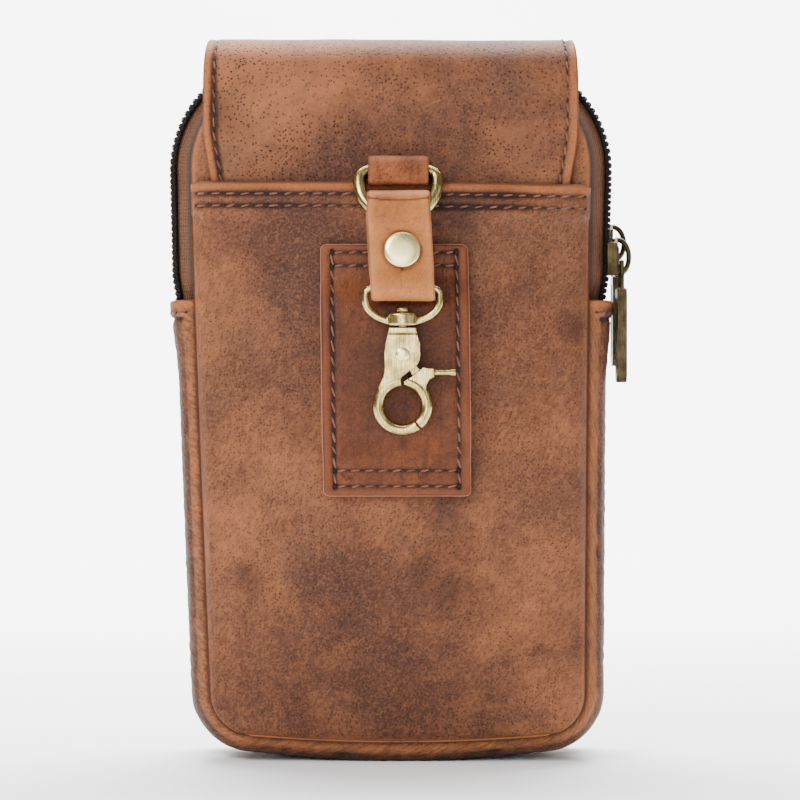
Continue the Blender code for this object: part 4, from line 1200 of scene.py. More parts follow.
@dataclass
class Sewing:
    """Rows of stitches gathered into one piece, with dark discs between them that paint the shade in the
    stitch holes.

    Attributes:
        name: the piece's name.
        pitch: distance from stitch to stitch.
        length: length of the thread that shows.
        width: its width.
        height: how far it stands proud.
        slant: turn of each stitch off the row, in degrees.
        seed: for the small differences between stitches.
        hole_shade: length of the dark discs between them, painted shade in the stitch holes, in millimetres.
    """

    name: str
    pitch: float = 3.7 * MM
    length: float = 2.35 * MM
    width: float = 0.52 * MM
    height: float = 0.25 * MM
    slant: float = 11.0
    seed: int = 1
    hole_shade: float = 1.1
    lumps: Lumps = field(default_factory=Lumps)

    def bead(self, rings: int = 7, sides: int = 8) -> tuple[Array, list[list[int]]]:
        """One stitch of unit size along X, its flat side down."""
        verts = [(-0.5, 0.0, -0.3)]
        for ring in range(1, rings):
            along_it = math.cos(math.pi * (1 - ring / rings))
            thick = (1 - abs(along_it) ** 3.0) ** 0.5
            for side in range(sides):
                turn = 2 * math.pi * side / sides
                up = math.sin(turn) * thick - 0.35 * abs(along_it) ** 4
                verts.append((along_it / 2, math.cos(turn) * thick / 2, up))
        verts.append((0.5, 0.0, -0.3))
        last = len(verts) - 1
        faces = [[0, 1 + (side + 1) % sides, 1 + side] for side in range(sides)]
        for ring in range(rings - 2):
            first = 1 + ring * sides
            for side in range(sides):
                after = (side + 1) % sides
                faces.append([first + side, first + after, first + sides + after, first + sides + side])
        first = 1 + (rings - 2) * sides
        faces += [[last, first + side, first + (side + 1) % sides] for side in range(sides)]
        return np.asarray(verts), faces

    def row(self, points: Array, normals: Array) -> "Sewing":
        """Sews along a line that lies on a surface."""
        rng = np.random.default_rng(self.seed + len(self.lumps.verts))
        run = along(points)
        count = max(1, round(run[-1] / self.pitch))
        pitch = run[-1] / count
        spots = (np.arange(count) + 0.5) * pitch
        bead, faces = self.bead()
        disc_angles = 2 * math.pi * np.arange(8) / 8
        disc = np.stack([0.5 * np.cos(disc_angles), 0.5 * np.sin(disc_angles), 0 * disc_angles], axis=1)
        disc = np.concatenate([disc, [(0, 0, 0.16)], disc * (1, 1, 0) - (0, 0, 0.5)])
        disc_faces = [[i, (i + 1) % 8, 8] for i in range(8)]
        disc_faces += [[(i + 1) % 8, i, i + 9, (i + 1) % 8 + 9] for i in range(8)]
        disc_faces += [[16, 15, 14, 13, 12, 11, 10, 9]]

        def frame(at: float) -> tuple[Array, Array, Array, Array]:
            """Place, direction, side and normal at a distance along the row."""
            spot = np.array([np.interp(at, run, axis) for axis in points.T])
            ahead = np.array([np.interp(at + 0.3 * MM, run, axis) for axis in points.T])
            behind = np.array([np.interp(at - 0.3 * MM, run, axis) for axis in points.T])
            up = unit(np.array([np.interp(at, run, axis) for axis in normals.T]))
            way = unit(ahead - behind)
            aside = unit(np.cross(up, way))
            return spot, unit(np.cross(aside, up)), aside, up

        for at in spots:
            spot, way, aside, up = frame(at)
            turn = math.radians(self.slant + rng.normal(0, 4.0))
            ahead = way * math.cos(turn) + aside * math.sin(turn)
            beside = np.cross(up, ahead)
            size = np.array((self.length, self.width, self.height)) * (1 + rng.normal(0, 0.09, 3))
            shape = bead * size
            placed = spot + shape[:, :1] * ahead + shape[:, 1:2] * beside + (shape[:, 2:] - 0.02 * MM) * up
            self.lumps.add(placed, faces, 0)
        # Dark discs at the stitch holes, painted shade.
        for at in np.concatenate([spots - pitch / 2, [spots[-1] + pitch / 2]]):
            spot, way, aside, up = frame(float(np.clip(at, 0.0, run[-1])))
            shape = disc * (self.hole_shade * MM * (1 + rng.normal(0, 0.12)), 0.52 * MM, 0.35 * MM)
            placed = spot + shape[:, :1] * way + shape[:, 1:2] * aside + (shape[:, 2:] + 0.05 * MM) * up
            self.lumps.add(placed, disc_faces, 1)
        return self

    def along_surface(self, surface: Surface, u: Array, v: Array) -> "Sewing":
        """Sews along (u, v) on a surface."""
        points = surface(u, v)
        small = 0.05 * MM
        du = surface(u + small, v) - surface(u - small, v)
        dv = surface(u, v + small) - surface(u, v - small)
        return self.row(points, unit(np.cross(du, dv)))

    def build(self, finishes: Finishes) -> None:
        """Makes the piece."""
        thing = self.lumps.object(self.name)
        thing.data.materials.append(finishes.thread.material)
        thing.data.materials.append(finishes.hole_shade)
        thing.data.polygons.foreach_set("material_index", self.lumps.marks)
        dress(thing, finishes.thread)


def groove(distance: Array, depth: float = 0.28 * MM, width: float = 0.9 * MM) -> Array:
    """The furrow that a row of stitches pulls into leather."""
    return -depth * bell(distance, width)


def clouds(x: Array, z: Array, spots: Sequence[tuple[float, float, float, float]]) -> Array:
    """Soft light and dark places on a face.

    Args:
        x: across, in metres.
        z: up, in metres.
        spots: (x, z, radius, amount) of each, in millimetres and from -1 to 1.

    Returns:
        The sum of the places.
    """
    total = np.zeros(np.broadcast(x, z).shape)
    for middle_x, middle_z, radius, amount in spots:
        distance = np.hypot(x / MM - middle_x, z / MM - middle_z)
        total = total + amount * bell(distance, radius)
    return total


# Leather pieces


@dataclass
class Panels:
    """The back panel, the front panel, the divider and the slip pocket."""

    outline: Outline
    finishes: Finishes
    roll: float = 2.4 * MM
    stitch_inset: float = 2.6 * MM
    pocket_rows: tuple[float, float] = (2.3 * MM, 5.4 * MM)
    slope: float = -0.0088
    # Light and dark places on the pocket: x, z, radius in mm, and how much. Partly the leather's own clouds,
    # partly painted light and shade, with light places on the left and dark ones towards the bottom and the
    # right.
    pocket_tone_and_shade: Clouds = (
        (-44.0, 125.0, 9.0, 1.6),
        (-24.0, 132.0, 20.0, -3.4),
        (28.0, 132.0, 22.0, -1.4),
        (-34.0, 100.0, 20.0, -0.4),
        (-46.0, 60.0, 10.0, 0.9),
        (-30.0, 28.0, 24.0, -0.2),
        (-18.0, 50.0, 12.0, -1.2),
        (18.0, 40.0, 24.0, 0.0),
        (4.0, 16.0, 24.0, -2.2),
        (42.0, 26.0, 12.0, -0.7),
        (34.0, 92.0, 24.0, -1.0),
        (-40.0, 12.0, 14.0, -0.5),
    )

    def rolled(self, x: Array, z: Array, depth: float, radius: float) -> Array:
        """How far a panel's edge turns away into the seam."""
        low = self.outline.rise
        inside = np.minimum(self.outline.half_width(z) - np.abs(x), z - low)
        share = np.clip(1 - inside / radius, 0.0, 1.0)
        return depth * (1 - np.sqrt(np.maximum(1 - share**2, 0.0)))

    def heights(self, top: float, spots: Sequence[float]) -> Array:
        """Rows of a panel, closer together near its edges and its sewing."""
        low = self.outline.rise
        return graded(low + 0.02 * MM, top, 1.3 * MM, 0.3 * MM, [low, *spots], 2.5 * MM)

    def shares(self) -> Array:
        """Columns of a panel as shares of its half width."""
        return graded(-1.0, 1.0, 0.026, 0.006, [-1.0, 1.0], 0.06)

    def pocket_surface(self, x: Array, z: Array) -> Array:
        """Outer face of the pocket, its edges turned into the seam."""
        y = self.outline.pocket_face(x, z) + self.rolled(x, z, self.roll, 3.0 * MM)
        return joined(x, y, z)

    def pocket(self) -> None:
        """The slip pocket with its hem."""
        line = self.outline
        rows = [line.pocket_top - inset for inset in self.pocket_rows]
        heights = self.heights(line.pocket_top, [*rows, line.pocket_top])
        x, z = line.spread(heights, self.shares())
        lifted = z + self.slope * x * ease((z - 100 * MM) / (40 * MM))
        grid = self.pocket_surface(x, z)
        grid[..., 2] = lifted
        grid = line.set_down(grid)
        inside = np.minimum(line.half_width(z) - np.abs(x), z - line.rise)
        relief = 0.28 * MM * ripple(grid, (38, 30, 38), 3.0) + 0.12 * MM * ripple(grid, (120, 90, 120), 5.0)
        for row in rows:
            relief = relief + groove(z - row)
        relief = relief * ease(inside / (2 * MM))
        tone = clouds(x, z, self.pocket_tone_and_shade)
        thinned = ease(1 - (line.half_width(z) - np.abs(x)) / (2.5 * MM))
        thickness = line.pocket_thickness(z) * (1 - 0.5 * thinned)
        shade = ease(1 - inside / (0.9 * MM)) * ease((line.pocket_top - z) / (2 * MM))
        skin = Skin("pocket_leather", grid, thickness, relief, rim=0.8, tone=tone, shade=shade)
        dress(skin.build(), self.finishes.leather, "back_pocket")
        sewing = Sewing("pocket_stitches", seed=4)
        for row in rows:
            width = float(line.half_width(row)) - 1.6 * MM
            across = np.linspace(-width, width, 120)
            points = self.pocket_surface(across, np.full(120, row)) + (0.0, 0.14 * MM, 0.0)
            points[:, 2] += self.slope * across
            sewing.row(points, np.tile((0.0, -1.0, 0.0), (120, 1)))
        sewing.build(self.finishes)

    def back(self) -> None:
        """The back panel, which shows beside the flap."""
        line = self.outline
        heights = graded(line.rise, line.top, 2.2 * MM, 0.7 * MM, [line.rise, line.top, 155 * MM], 6 * MM)
        x, z = line.spread(heights, graded(-1.0, 1.0, 0.05, 0.006, [-1.0, 1.0], 0.07))
        inside = np.minimum(line.half_width(z) - np.abs(x), line.top - z)
        turn = np.clip(1 - inside / (2.2 * MM), 0, 1)
        y = line.back_face(x, z) + 1.1 * MM * (1 - np.sqrt(1 - turn**2)) * ease((z - 140 * MM) / (12 * MM))
        grid = joined(x, y, z)
        inner = 1.0 - 0.6 * ease(1 - inside / (3 * MM))
        creases = 0.2 * MM * ripple(grid, (420, 60, 50), 11.0) * bell(inside - 4 * MM, 3 * MM)
        relief = (0.15 * MM * ripple(grid, (60, 60, 60), 9.0) + creases) * ease(inside / (3 * MM))
        tone = 0.8 * ease(1 - inside / (7 * MM))
        shade = ease(1 - inside / (0.8 * MM))
        grid = line.set_down(grid)
        inner = line.panel_leather * inner
        skin = Skin("back_leather", grid, inner, relief, 0.6, tone=tone, shade=shade, sewn=True)
        dress(skin.build(), self.finishes.leather, "back_panel")

    def front_surface(self, x: Array, z: Array) -> Array:
        """Outer face of the front panel, its edges turned into the seam."""
        line = self.outline
        inside = np.minimum(np.minimum(line.half_width(z) - np.abs(x), z - line.rise), line.top - z)
        turn = np.clip(1 - inside / (2.6 * MM), 0, 1)
        y = line.front_face(x, z) - 1.2 * MM * (1 - np.sqrt(np.maximum(1 - turn**2, 0.0)))
        return joined(x, y, z)

    def front(self) -> None:
        """The front panel, sewn all round a little inside its edge."""
        line = self.outline
        low = line.rise
        heights = graded(low + 0.02 * MM, line.top, 1.7 * MM, 0.5 * MM, [low, line.top], 4 * MM)
        x, z = line.spread(heights, -graded(-1.0, 1.0, 0.034, 0.007, [-1.0, 1.0], 0.06))
        grid = self.front_surface(x, z)
        inside = np.minimum(line.half_width(z) - np.abs(x), z - low)
        relief = 0.2 * MM * ripple(grid, (40, 40, 40), 13.0) + groove(inside - self.stitch_inset)
        relief = relief * ease(inside / (1.5 * MM))
        thickness = line.panel_leather * (1 - 0.5 * ease(1 - inside / (2.5 * MM)))
        tone = clouds(x, z, ((20.0, 60.0, 24.0, -0.8), (-24.0, 30.0, 20.0, 0.7), (0.0, 92.0, 22.0, -0.4)))
        shade = ease(1 - np.minimum(inside, line.top - z) / (0.8 * MM))
        grid = line.set_down(grid)
        skin = Skin("front_leather", grid, thickness, relief, rim=0.6, tone=tone, shade=shade, sewn=True)
        dress(skin.build(), self.finishes.leather, "front_panel")
        stations = line.run(True, 150 * MM, 1.0 * MM)
        x = stations[:, 0] - stations[:, 2] * self.stitch_inset
        z = stations[:, 1] - stations[:, 3] * self.stitch_inset
        points = line.set_down(self.front_surface(x, z) - (0.0, 0.15 * MM, 0.0))
        away = np.tile((0.0, 1.0, 0.0), (len(x), 1))
        Sewing("front_stitches", seed=6).row(points, away).build(self.finishes)

    def divider(self) -> None:
        """The plain wall between the lobes."""
        line = self.outline
        heights = graded(line.rise, line.top, 4 * MM, 1.0 * MM, [line.rise, line.top], 8 * MM)
        x, z = line.spread(heights, np.linspace(-1.0, 1.0, 31))
        grid = line.set_down(joined(x, -line.divider / 2, z))
        relief = 0.1 * MM * ripple(grid, (50, 50, 50), 17.0)
        skin = Skin("divider_leather", grid, line.divider, relief)
        dress(skin.build(), self.finishes.lining, "divider_panel")

    def build(self) -> None:
        """Makes every panel."""
        self.back()
        self.front()
        self.divider()
        self.pocket()


@dataclass
class Flap:
    """The flap: sewn behind the pocket's hem, over the top and down the front."""

    outline: Outline
    finishes: Finishes
    top: float = 188.9 * MM
    arch: float = 172.0 * MM
    tuck: float = 11.0 * MM
    tuck_half: float = 45.7 * MM
    front_end: float = 97.0 * MM
    corner: float = 15.0 * MM
    power: float = 3.0
    inset: float = 2.35 * MM
    narrowing: float = 0.8 * MM
    # Light and dark places on the flap's back: x, z, radius in mm, and how much. The light place at the upper
    # left is a painted highlight where the flap curves toward the light.
    back_tone_and_light: Clouds = (
        (-34.0, 178.0, 22.0, 3.0),
        (-14.0, 157.0, 24.0, -2.2),
        (16.0, 152.0, 16.0, -0.9),
        (24.0, 176.0, 24.0, -0.2),
        (42.0, 150.0, 12.0, 0.8),
        (-38.0, 150.0, 12.0, -0.4),
    )

    def half_width(self, part: str, z: Array) -> Array:
        """Half width of the flap along it."""
        full = self.outline.flap_half
        if part == "back":
            share = ease((z - self.outline.pocket_top + 3 * MM) / (19 * MM))
            return self.tuck_half + (full - self.tuck_half) * share
        if part == "front":
            drop = np.clip(self.front_end + self.corner - z, 0.0, self.corner)
            return full - self.corner + np.sqrt(np.maximum(self.corner**2 - drop**2, 0.0))
        return np.full_like(z, full)

    def spot(self, part: str, value: Array, across: Array) -> Array:
        """Points of the flap's outer face. across runs from -1 to 1."""
        line = self.outline
        off = GAP + line.flap_leather
        if part == "top":
            x = across * (line.flap_half - self.narrowing * np.sin(value) ** 2)
            rear = line.back_face(x, self.arch) - off
            front = line.front_face(x, self.arch) + off
            flat = np.sign(np.cos(value)) * np.abs(np.cos(value)) ** (2 / self.power)
            y = (rear + front) / 2 + (rear - front) / 2 * flat
            z = self.arch + (self.top - self.arch) * np.maximum(np.sin(value), 0.0) ** (2 / self.power)
            return joined(x, y, z)
        x = across * self.half_width(part, value)
        face = line.back_face(x, value) - off if part == "back" else line.front_face(x, value) + off
        return joined(x, face, value)

    def rows(self, spacing: float) -> list[tuple[str, float]]:
        """The flap's rows, evenly spaced along its middle."""
        steps: list[tuple[str, float]] = []
        steps += [("back", z) for z in np.linspace(self.outline.pocket_top - self.tuck, self.arch, 60)[:-1]]
        steps += [("top", a) for a in math.pi * (1 - np.cos(np.linspace(0, math.pi, 900))) / 2]
        low = self.front_end + self.corner
        steps += [("front", z) for z in np.linspace(self.arch, low, 60)[1:]]
        steps += [("front", low - self.corner * math.sin(a)) for a in np.linspace(0, math.pi / 2, 40)[1:]]
        middle = np.array([self.spot(part, np.array([value]), np.array([0.3]))[0] for part, value in steps])
        run = along(middle)
        picks = np.searchsorted(run, np.linspace(0, run[-1] * 0.99999, round(run[-1] / spacing)))
        rounded = {i for i, (part, z) in enumerate(steps) if part == "front" and z < low}
        return [steps[i] for i in sorted(set(picks.tolist()) | {len(steps) - 1} | rounded)]

    def build(self) -> None:
        """Makes the flap and its sewing."""
        share = graded(-1.0, 1.0, 0.027, 0.006, [-1.0, 1.0], 0.08)
        rows = self.rows(1.05 * MM)
        grid = np.array([self.spot(part, np.full_like(share, value), share) for part, value in rows])
        x, z = grid[..., 0], grid[..., 2]
        back = np.array([part != "front" for part, _ in rows])[:, None]
        half = np.array([self.half_width(part, np.array([value]))[0] for part, value in rows])[:, None]
        inside = half - np.abs(x)
        front_in = np.where(back, 1.0, z - self.front_end)
        reach = np.minimum(inside, front_in)
        relief = 0.3 * MM * ripple(grid, (30, 30, 30), 23.0) + 0.1 * MM * ripple(grid, (110, 110, 110), 25.0)
        relief = relief * ease(reach / (2 * MM)) + groove(reach - self.inset)
        tone = clouds(x, z, self.back_tone_and_light) * back
        skin = Skin("flap_leather", grid, self.outline.flap_leather, relief, rim=0.7, tone=tone)
        dress(skin.build(), self.finishes.flap, "flap")
        self.sew(rows)

    def sew(self, rows: Sequence[tuple[str, float]]) -> None:
        """Sews round the flap, a little inside its edge."""
        sewing = Sewing("flap_stitches", seed=8, slant=11.0)
        low = self.front_end + self.corner
        tall = [(part, value) for part, value in rows if part != "front" or value > low]
        for side in (-1.0, 1.0):
            points, normals = [], []
            for part, value in tall:
                half = self.half_width(part, np.array([value]))[0]
                share = side * (half - self.inset) / half
                spot = self.spot(part, np.array([value] * 3), np.array([share - 0.01, share, share + 0.01]))
                points.append(spot[1])
                normals.append(spot[2] - spot[0])
            line = np.asarray(points)
            up = unit(np.cross(np.asarray(normals), np.gradient(line, axis=0)))
            sewing.row(line + up * -0.12 * MM, up)
        inner = self.corner - self.inset
        full = self.outline.flap_half - self.corner
        flat = []
        for middle, first in ((-full, math.pi), (full, 1.5 * math.pi)):
            for a in np.linspace(first, first + 0.5 * math.pi, 16):
                flat.append((middle + inner * math.cos(a), low + inner * math.sin(a)))
        spots = evenly(np.asarray(flat), 0.8 * MM)
        y = self.outline.front_face(spots[:, 0], spots[:, 1]) + GAP + self.outline.flap_leather - 0.12 * MM
        line = np.stack([spots[:, 0], y, spots[:, 1]], axis=1)
        sewing.row(line, np.tile((0.0, 1.0, 0.0), (len(line), 1)))
        sewing.build(self.finishes)


@dataclass
class Gusset:
    """The leather band round the sides and base of one lobe, with its hems."""

    lobe: Lobe
    outline: Outline
    finishes: Finishes
    leather: float = 1.3 * MM
    hem: float = 2.4 * MM
    hem_length: float = 3.6 * MM
    bulge: float = 5.4 * MM
    hem_bulge: float = 6.7 * MM
    base_bulge: float = 7.0 * MM
    allowance: float = 3.5 * MM
    ridge: float = 1.4 * MM
    # Less than 1 makes the band's section fuller than an ellipse.
    fullness: float = 0.8

    def reach(self, x: Array, z: Array) -> Array:
        """How far the band stands out of the seam."""
        line = self.outline
        toward_base = 1 - ease((z - line.rise) / line.base_corner)
        toward_base = toward_base * (1 - ease(np.abs(x) / (line.half_base - line.base_corner)))
        toward_hem = ease((z - line.hem_top + 22 * MM) / (22 * MM))
        at_base, at_hem = self.base_bulge - self.bulge, self.hem_bulge - self.bulge
        return self.bulge + at_base * toward_base + at_hem * toward_hem

    def section(self) -> Array:
        """Angles across the band that give even steps, the two seam allowances left out."""
        angles = np.linspace(0.0, math.pi, 2000)
        near, far = self.outline.lobe(self.lobe)
        half = abs(near - far) / 2
        shape = np.stack([self.bulge * np.sin(angles) ** self.fullness, half * np.cos(angles)], axis=1)
        run = along(shape)
        return np.interp(np.linspace(0, run[-1], 38), run, angles)

    def surface(self, stations: Array, angles: Array) -> Array:
        """Points of the band's outer face, stations by angles."""
        near, far = self.outline.lobe(self.lobe)
        reach = self.reach(stations[:, 0], stations[:, 1])[:, None]
        out = reach * np.maximum(np.sin(angles), 0.0)[None, :] ** self.fullness
        y = (near + far) / 2 + (near - far) / 2 * np.cos(angles)
        seam = self.outline.set_down(stations[:, (0, 0, 1)])
        x = seam[:, :1] + stations[:, 2:3] * out
        z = np.maximum(seam[:, 2:] + stations[:, 3:4] * out, 0.0)
        return joined(x, y, z)

    def build(self) -> None:
        """Makes the band and the sewing of its hems."""
        line = self.outline
        near, far = line.lobe(self.lobe)
        spacing = 0.6 * MM if self.lobe is Lobe.REAR else 1.0 * MM
        stations = line.run(True, line.hem_top, spacing)
        angles = self.section()
        middle = self.surface(stations, angles)
        seam = line.set_down(stations[:, (0, 0, 1)])
        side = np.zeros((len(stations), 1, 3))
        side[:, 0, 0] = seam[:, 0] - stations[:, 2] * self.allowance
        side[:, 0, 2] = seam[:, 2] - stations[:, 3] * self.allowance
        first, last = side.copy(), side.copy()
        first[..., 1], last[..., 1] = near, far
        grid = np.concatenate([first, middle, last], axis=1)
        angle = np.concatenate([[0.0], angles, [math.pi]])[None, :]
        hem = ease((stations[:, 1] - line.hem_top + self.hem_length + 0.6 * MM) / (0.8 * MM))[:, None]
        run = along(stations[:, :2])[:, None]
        swell = np.sin(angle)
        out = self.bulge * swell**self.fullness
        slanted = run + 0.9 * out + 0.3 * grid[..., 1]
        place = joined(slanted, grid[..., 1], 0 * run)
        wrinkle = 0.2 * MM * ripple(place, (520, 90, 1), 31.0) + 0.12 * MM * ripple(place, (110, 90, 1), 33.0)
        facing = np.minimum(angle, math.pi - angle) < math.pi / 2
        ridge = bell(out - self.ridge, 1.1 * MM) * facing
        relief = wrinkle * swell**0.5 * (1 - hem) + 0.3 * MM * ridge * (1 - hem)
        relief = relief - 0.22 * MM * bell(out - 3.1 * MM, 0.5 * MM) * (1 - hem)
        foot = line.hem_top - self.hem_length
        step = bell(stations[:, 1] - foot + 0.7 * MM, 0.7 * MM)[:, None]
        relief = relief - 0.55 * MM * step * swell + 0.35 * MM * hem * swell
        resting = grid[..., 2] < 0.05 * MM
        relief = np.where(resting, np.minimum(relief, 0.0), relief)
        thickness = self.leather + (self.hem - self.leather) * hem * np.ones_like(angle)
        folds = ripple(place, (260, 60, 1), 35.0)
        # Painted highlight on the ridge by the seam, and painted shade on the outer band where it turns away
        # from the light.
        tone = 2.0 * ridge - 3.6 * ease((out - 2.9 * MM) / (1.6 * MM)) + 1.2 * folds + 0.8 * hem
        shade = np.maximum(ease(1 - out / (0.55 * MM)), 0.7 * step * swell) * np.ones_like(run)
        if self.lobe is Lobe.FRONT:
            grid, relief, thickness = grid[:, ::-1], relief[:, ::-1], thickness[:, ::-1]
            tone, shade = tone[:, ::-1], shade[:, ::-1]
        skin = Skin(f"gusset_leather_{self.lobe.value}", grid, thickness, relief, 0.4, tone=tone, shade=shade)
        dress(skin.build(), self.finishes.band, f"gusset_{self.lobe.value}")
        sewing = Sewing(f"hem_stitches_{self.lobe.value}", seed=10)
        for side_sign in (-1, 1):
            spot = np.asarray([line.station_at(line.hem_top - 2.8 * MM)]) * (side_sign, 1, side_sign, 1)
            dense = np.linspace(0.25, math.pi - 0.25, 60)
            points = self.surface(spot, dense)[0]
            normals = np.cross(np.gradient(points, axis=0), (0, 0, 1.0))
            normals = normals * np.sign(normals[:, :1] * side_sign + 1e-12)
            sewing.row(points + unit(normals) * 0.3 * MM, unit(normals))
        sewing.build(self.finishes)


@dataclass
class Zip:
    """A lobe's zip: two tapes, the coil and the thread that holds it."""

    lobe: Lobe
    outline: Outline
    finishes: Finishes
    cloth: float = 0.8 * MM
    allowance: float = 3.5 * MM
    tuck_length: float = 5.0 * MM
    hem: float = 2.4 * MM
    pitch: float = 1.55 * MM
    tape_reach: float = 5.0 * MM
    # Width of the painted shade in the furrow beside the leather.
    furrow: float = 1.3 * MM
    loop_reach: float = 6.15 * MM

    def tuck(self, z: Array) -> Array:
        """1 where the zip runs under the gusset's hem, and 0 a little above it."""
        return 1 - ease((z - self.outline.hem_top - 0.5 * MM) / (7.5 * MM))

    def tape(self, side: Side) -> None:
        """One woven tape."""
        near, far = self.outline.lobe(self.lobe)
        stations = self.outline.run(False, self.outline.hem_top - self.tuck_length, 0.9 * MM)
        z = stations[:, 1]
        shift = (np.copysign(self.hem + GAP, far - near) * self.tuck(z))[:, None]
        reach = (self.tape_reach - 0.9 * MM * self.tuck(z))[:, None]
        share = np.linspace(0.0, 1.0, 15)[None, :]
        middle = (near + far) / 2
        seam = near + shift if side is Side.OUTER else far - shift
        y = seam + (middle - seam) * share
        out = reach * (0.15 * share + 0.85 * share**1.4)
        # The furrow beside the leather is painted dark as shade.
        furrow = bell(out, self.furrow) * np.ones_like(z)[:, None]
        furrow = np.concatenate([np.ones((len(z), 1)), furrow], axis=1)
        first = np.concatenate([np.full((len(z), 1), -self.allowance), out], axis=1)
        y = np.concatenate([y[:, :1], y], axis=1)
        x = stations[:, :1] + stations[:, 2:3] * first
        height = stations[:, 1:2] + stations[:, 3:4] * first
        grid = joined(x, y, height)
        if (self.lobe is Lobe.REAR) == (side is Side.OUTER):
            grid, furrow = grid[:, ::-1], furrow[:, ::-1]
        relief = 0.12 * MM * ripple(grid, (90, 90, 90), 41.0)
        name = f"zip_tape_{self.lobe.value}_{side.value}"
        skin = Skin(f"woven_{name}", grid, self.cloth, relief, rim=0.3, shade=furrow)
        dress(skin.build(), self.finishes.tape, name)

    def coil(self) -> None:
        """The coil: a loop for each tooth, sewn down by two lines of thread."""
        near, far = self.outline.lobe(self.lobe)
        middle = (near + far) / 2
        stations = self.outline.run(False, self.outline.hem_top + 0.4 * MM, self.pitch / 2)
        lumps, threads = Lumps(), Lumps()
        core_line = self.outline.run(False, self.outline.hem_top + 0.4 * MM, 1.0 * MM)
        for number, (x, z, out_x, out_z) in enumerate(stations):
            side = 1 if number % 2 else -1
            reach = self.loop_reach - 0.8 * MM * float(self.tuck(np.array(z)))
            along_it = np.array((-out_z, 0.0, out_x))
            outward = np.array((out_x, 0.0, out_z))
            foot = np.array((x, middle, z))
            across = np.array((-2.35, -1.7, -0.9, 0.0, 0.75)) * MM * side
            up = np.array((-1.5, -0.75, -0.5, -0.42, -0.8)) * MM
            lean = np.array((-0.1, 0.0, 0.05, 0.1, 0.15)) * MM * side
            line = foot + outward * (reach + up)[:, None] + along_it * lean[:, None]
            line[:, 1] += across
            self.rope(lumps, line, 0.45 * MM, 6)
            ends = foot + outward * (reach - 0.2 * MM) + along_it * 0.25 * self.pitch
            for way in (-1, 1):
                spot = ends + np.array((0, way * 1.45 * MM, 0))
                tail = along_it * 0.3 * MM + np.array((0, way * 0.12 * MM, 0))
                if number % 2:
                    self.rope(threads, np.array([spot - tail, spot, spot + tail]), 0.2 * MM, 5)
        self.core(lumps, core_line, middle)
        coil = lumps.object(f"coil_loops_{self.lobe.value}")
        dress(coil, self.finishes.coil, f"zip_coil_{self.lobe.value}")
        thread = threads.object(f"coil_thread_{self.lobe.value}")
        dress(thread, self.finishes.coil_thread)

    def core(self, lumps: Lumps, stations: Array, middle: float) -> None:
        """Adds the cord inside the coil, which closes it to the light."""
        reach = self.loop_reach - 0.8 * MM * self.tuck(stations[:, 1])
        section = [(-0.75, -2.1), (-0.75, 2.1), (-1.9, 2.1), (-1.9, -2.1)]
        rings = []
        for up, across in section:
            out = reach + up * MM
            x = stations[:, 0] + stations[:, 2] * out
            z = stations[:, 1] + stations[:, 3] * out
            rings.append(joined(x, middle + across * MM, z))
        lumps.loft(np.stack(rings, axis=1))

    @staticmethod
    def rope(lumps: Lumps, line: Array, radius: float, sides: int) -> None:
        """Adds a round bar along any short line."""
        run = unit(np.gradient(line, axis=0))
        helper = np.array((0.0, 0.0, 1.0)) if abs(run[0, 2]) < 0.8 else np.array((1.0, 0.0, 0.0))
        one = unit(np.cross(run, helper))
        two = np.cross(run, one)
        turns = 2 * math.pi * np.arange(sides) / sides
        wide = radius * np.array([0.7] + [1.0] * (len(line) - 2) + [0.7])[:, None, None]
        rings = line[:, None] + wide * (
            one[:, None] * np.cos(turns)[None, :, None] + two[:, None] * np.sin(turns)[None, :, None]
        )
        lumps.loft(rings)

    def build(self) -> None:
        """Makes the zip."""
        self.tape(Side.OUTER)
        self.tape(Side.INNER)
        self.coil()


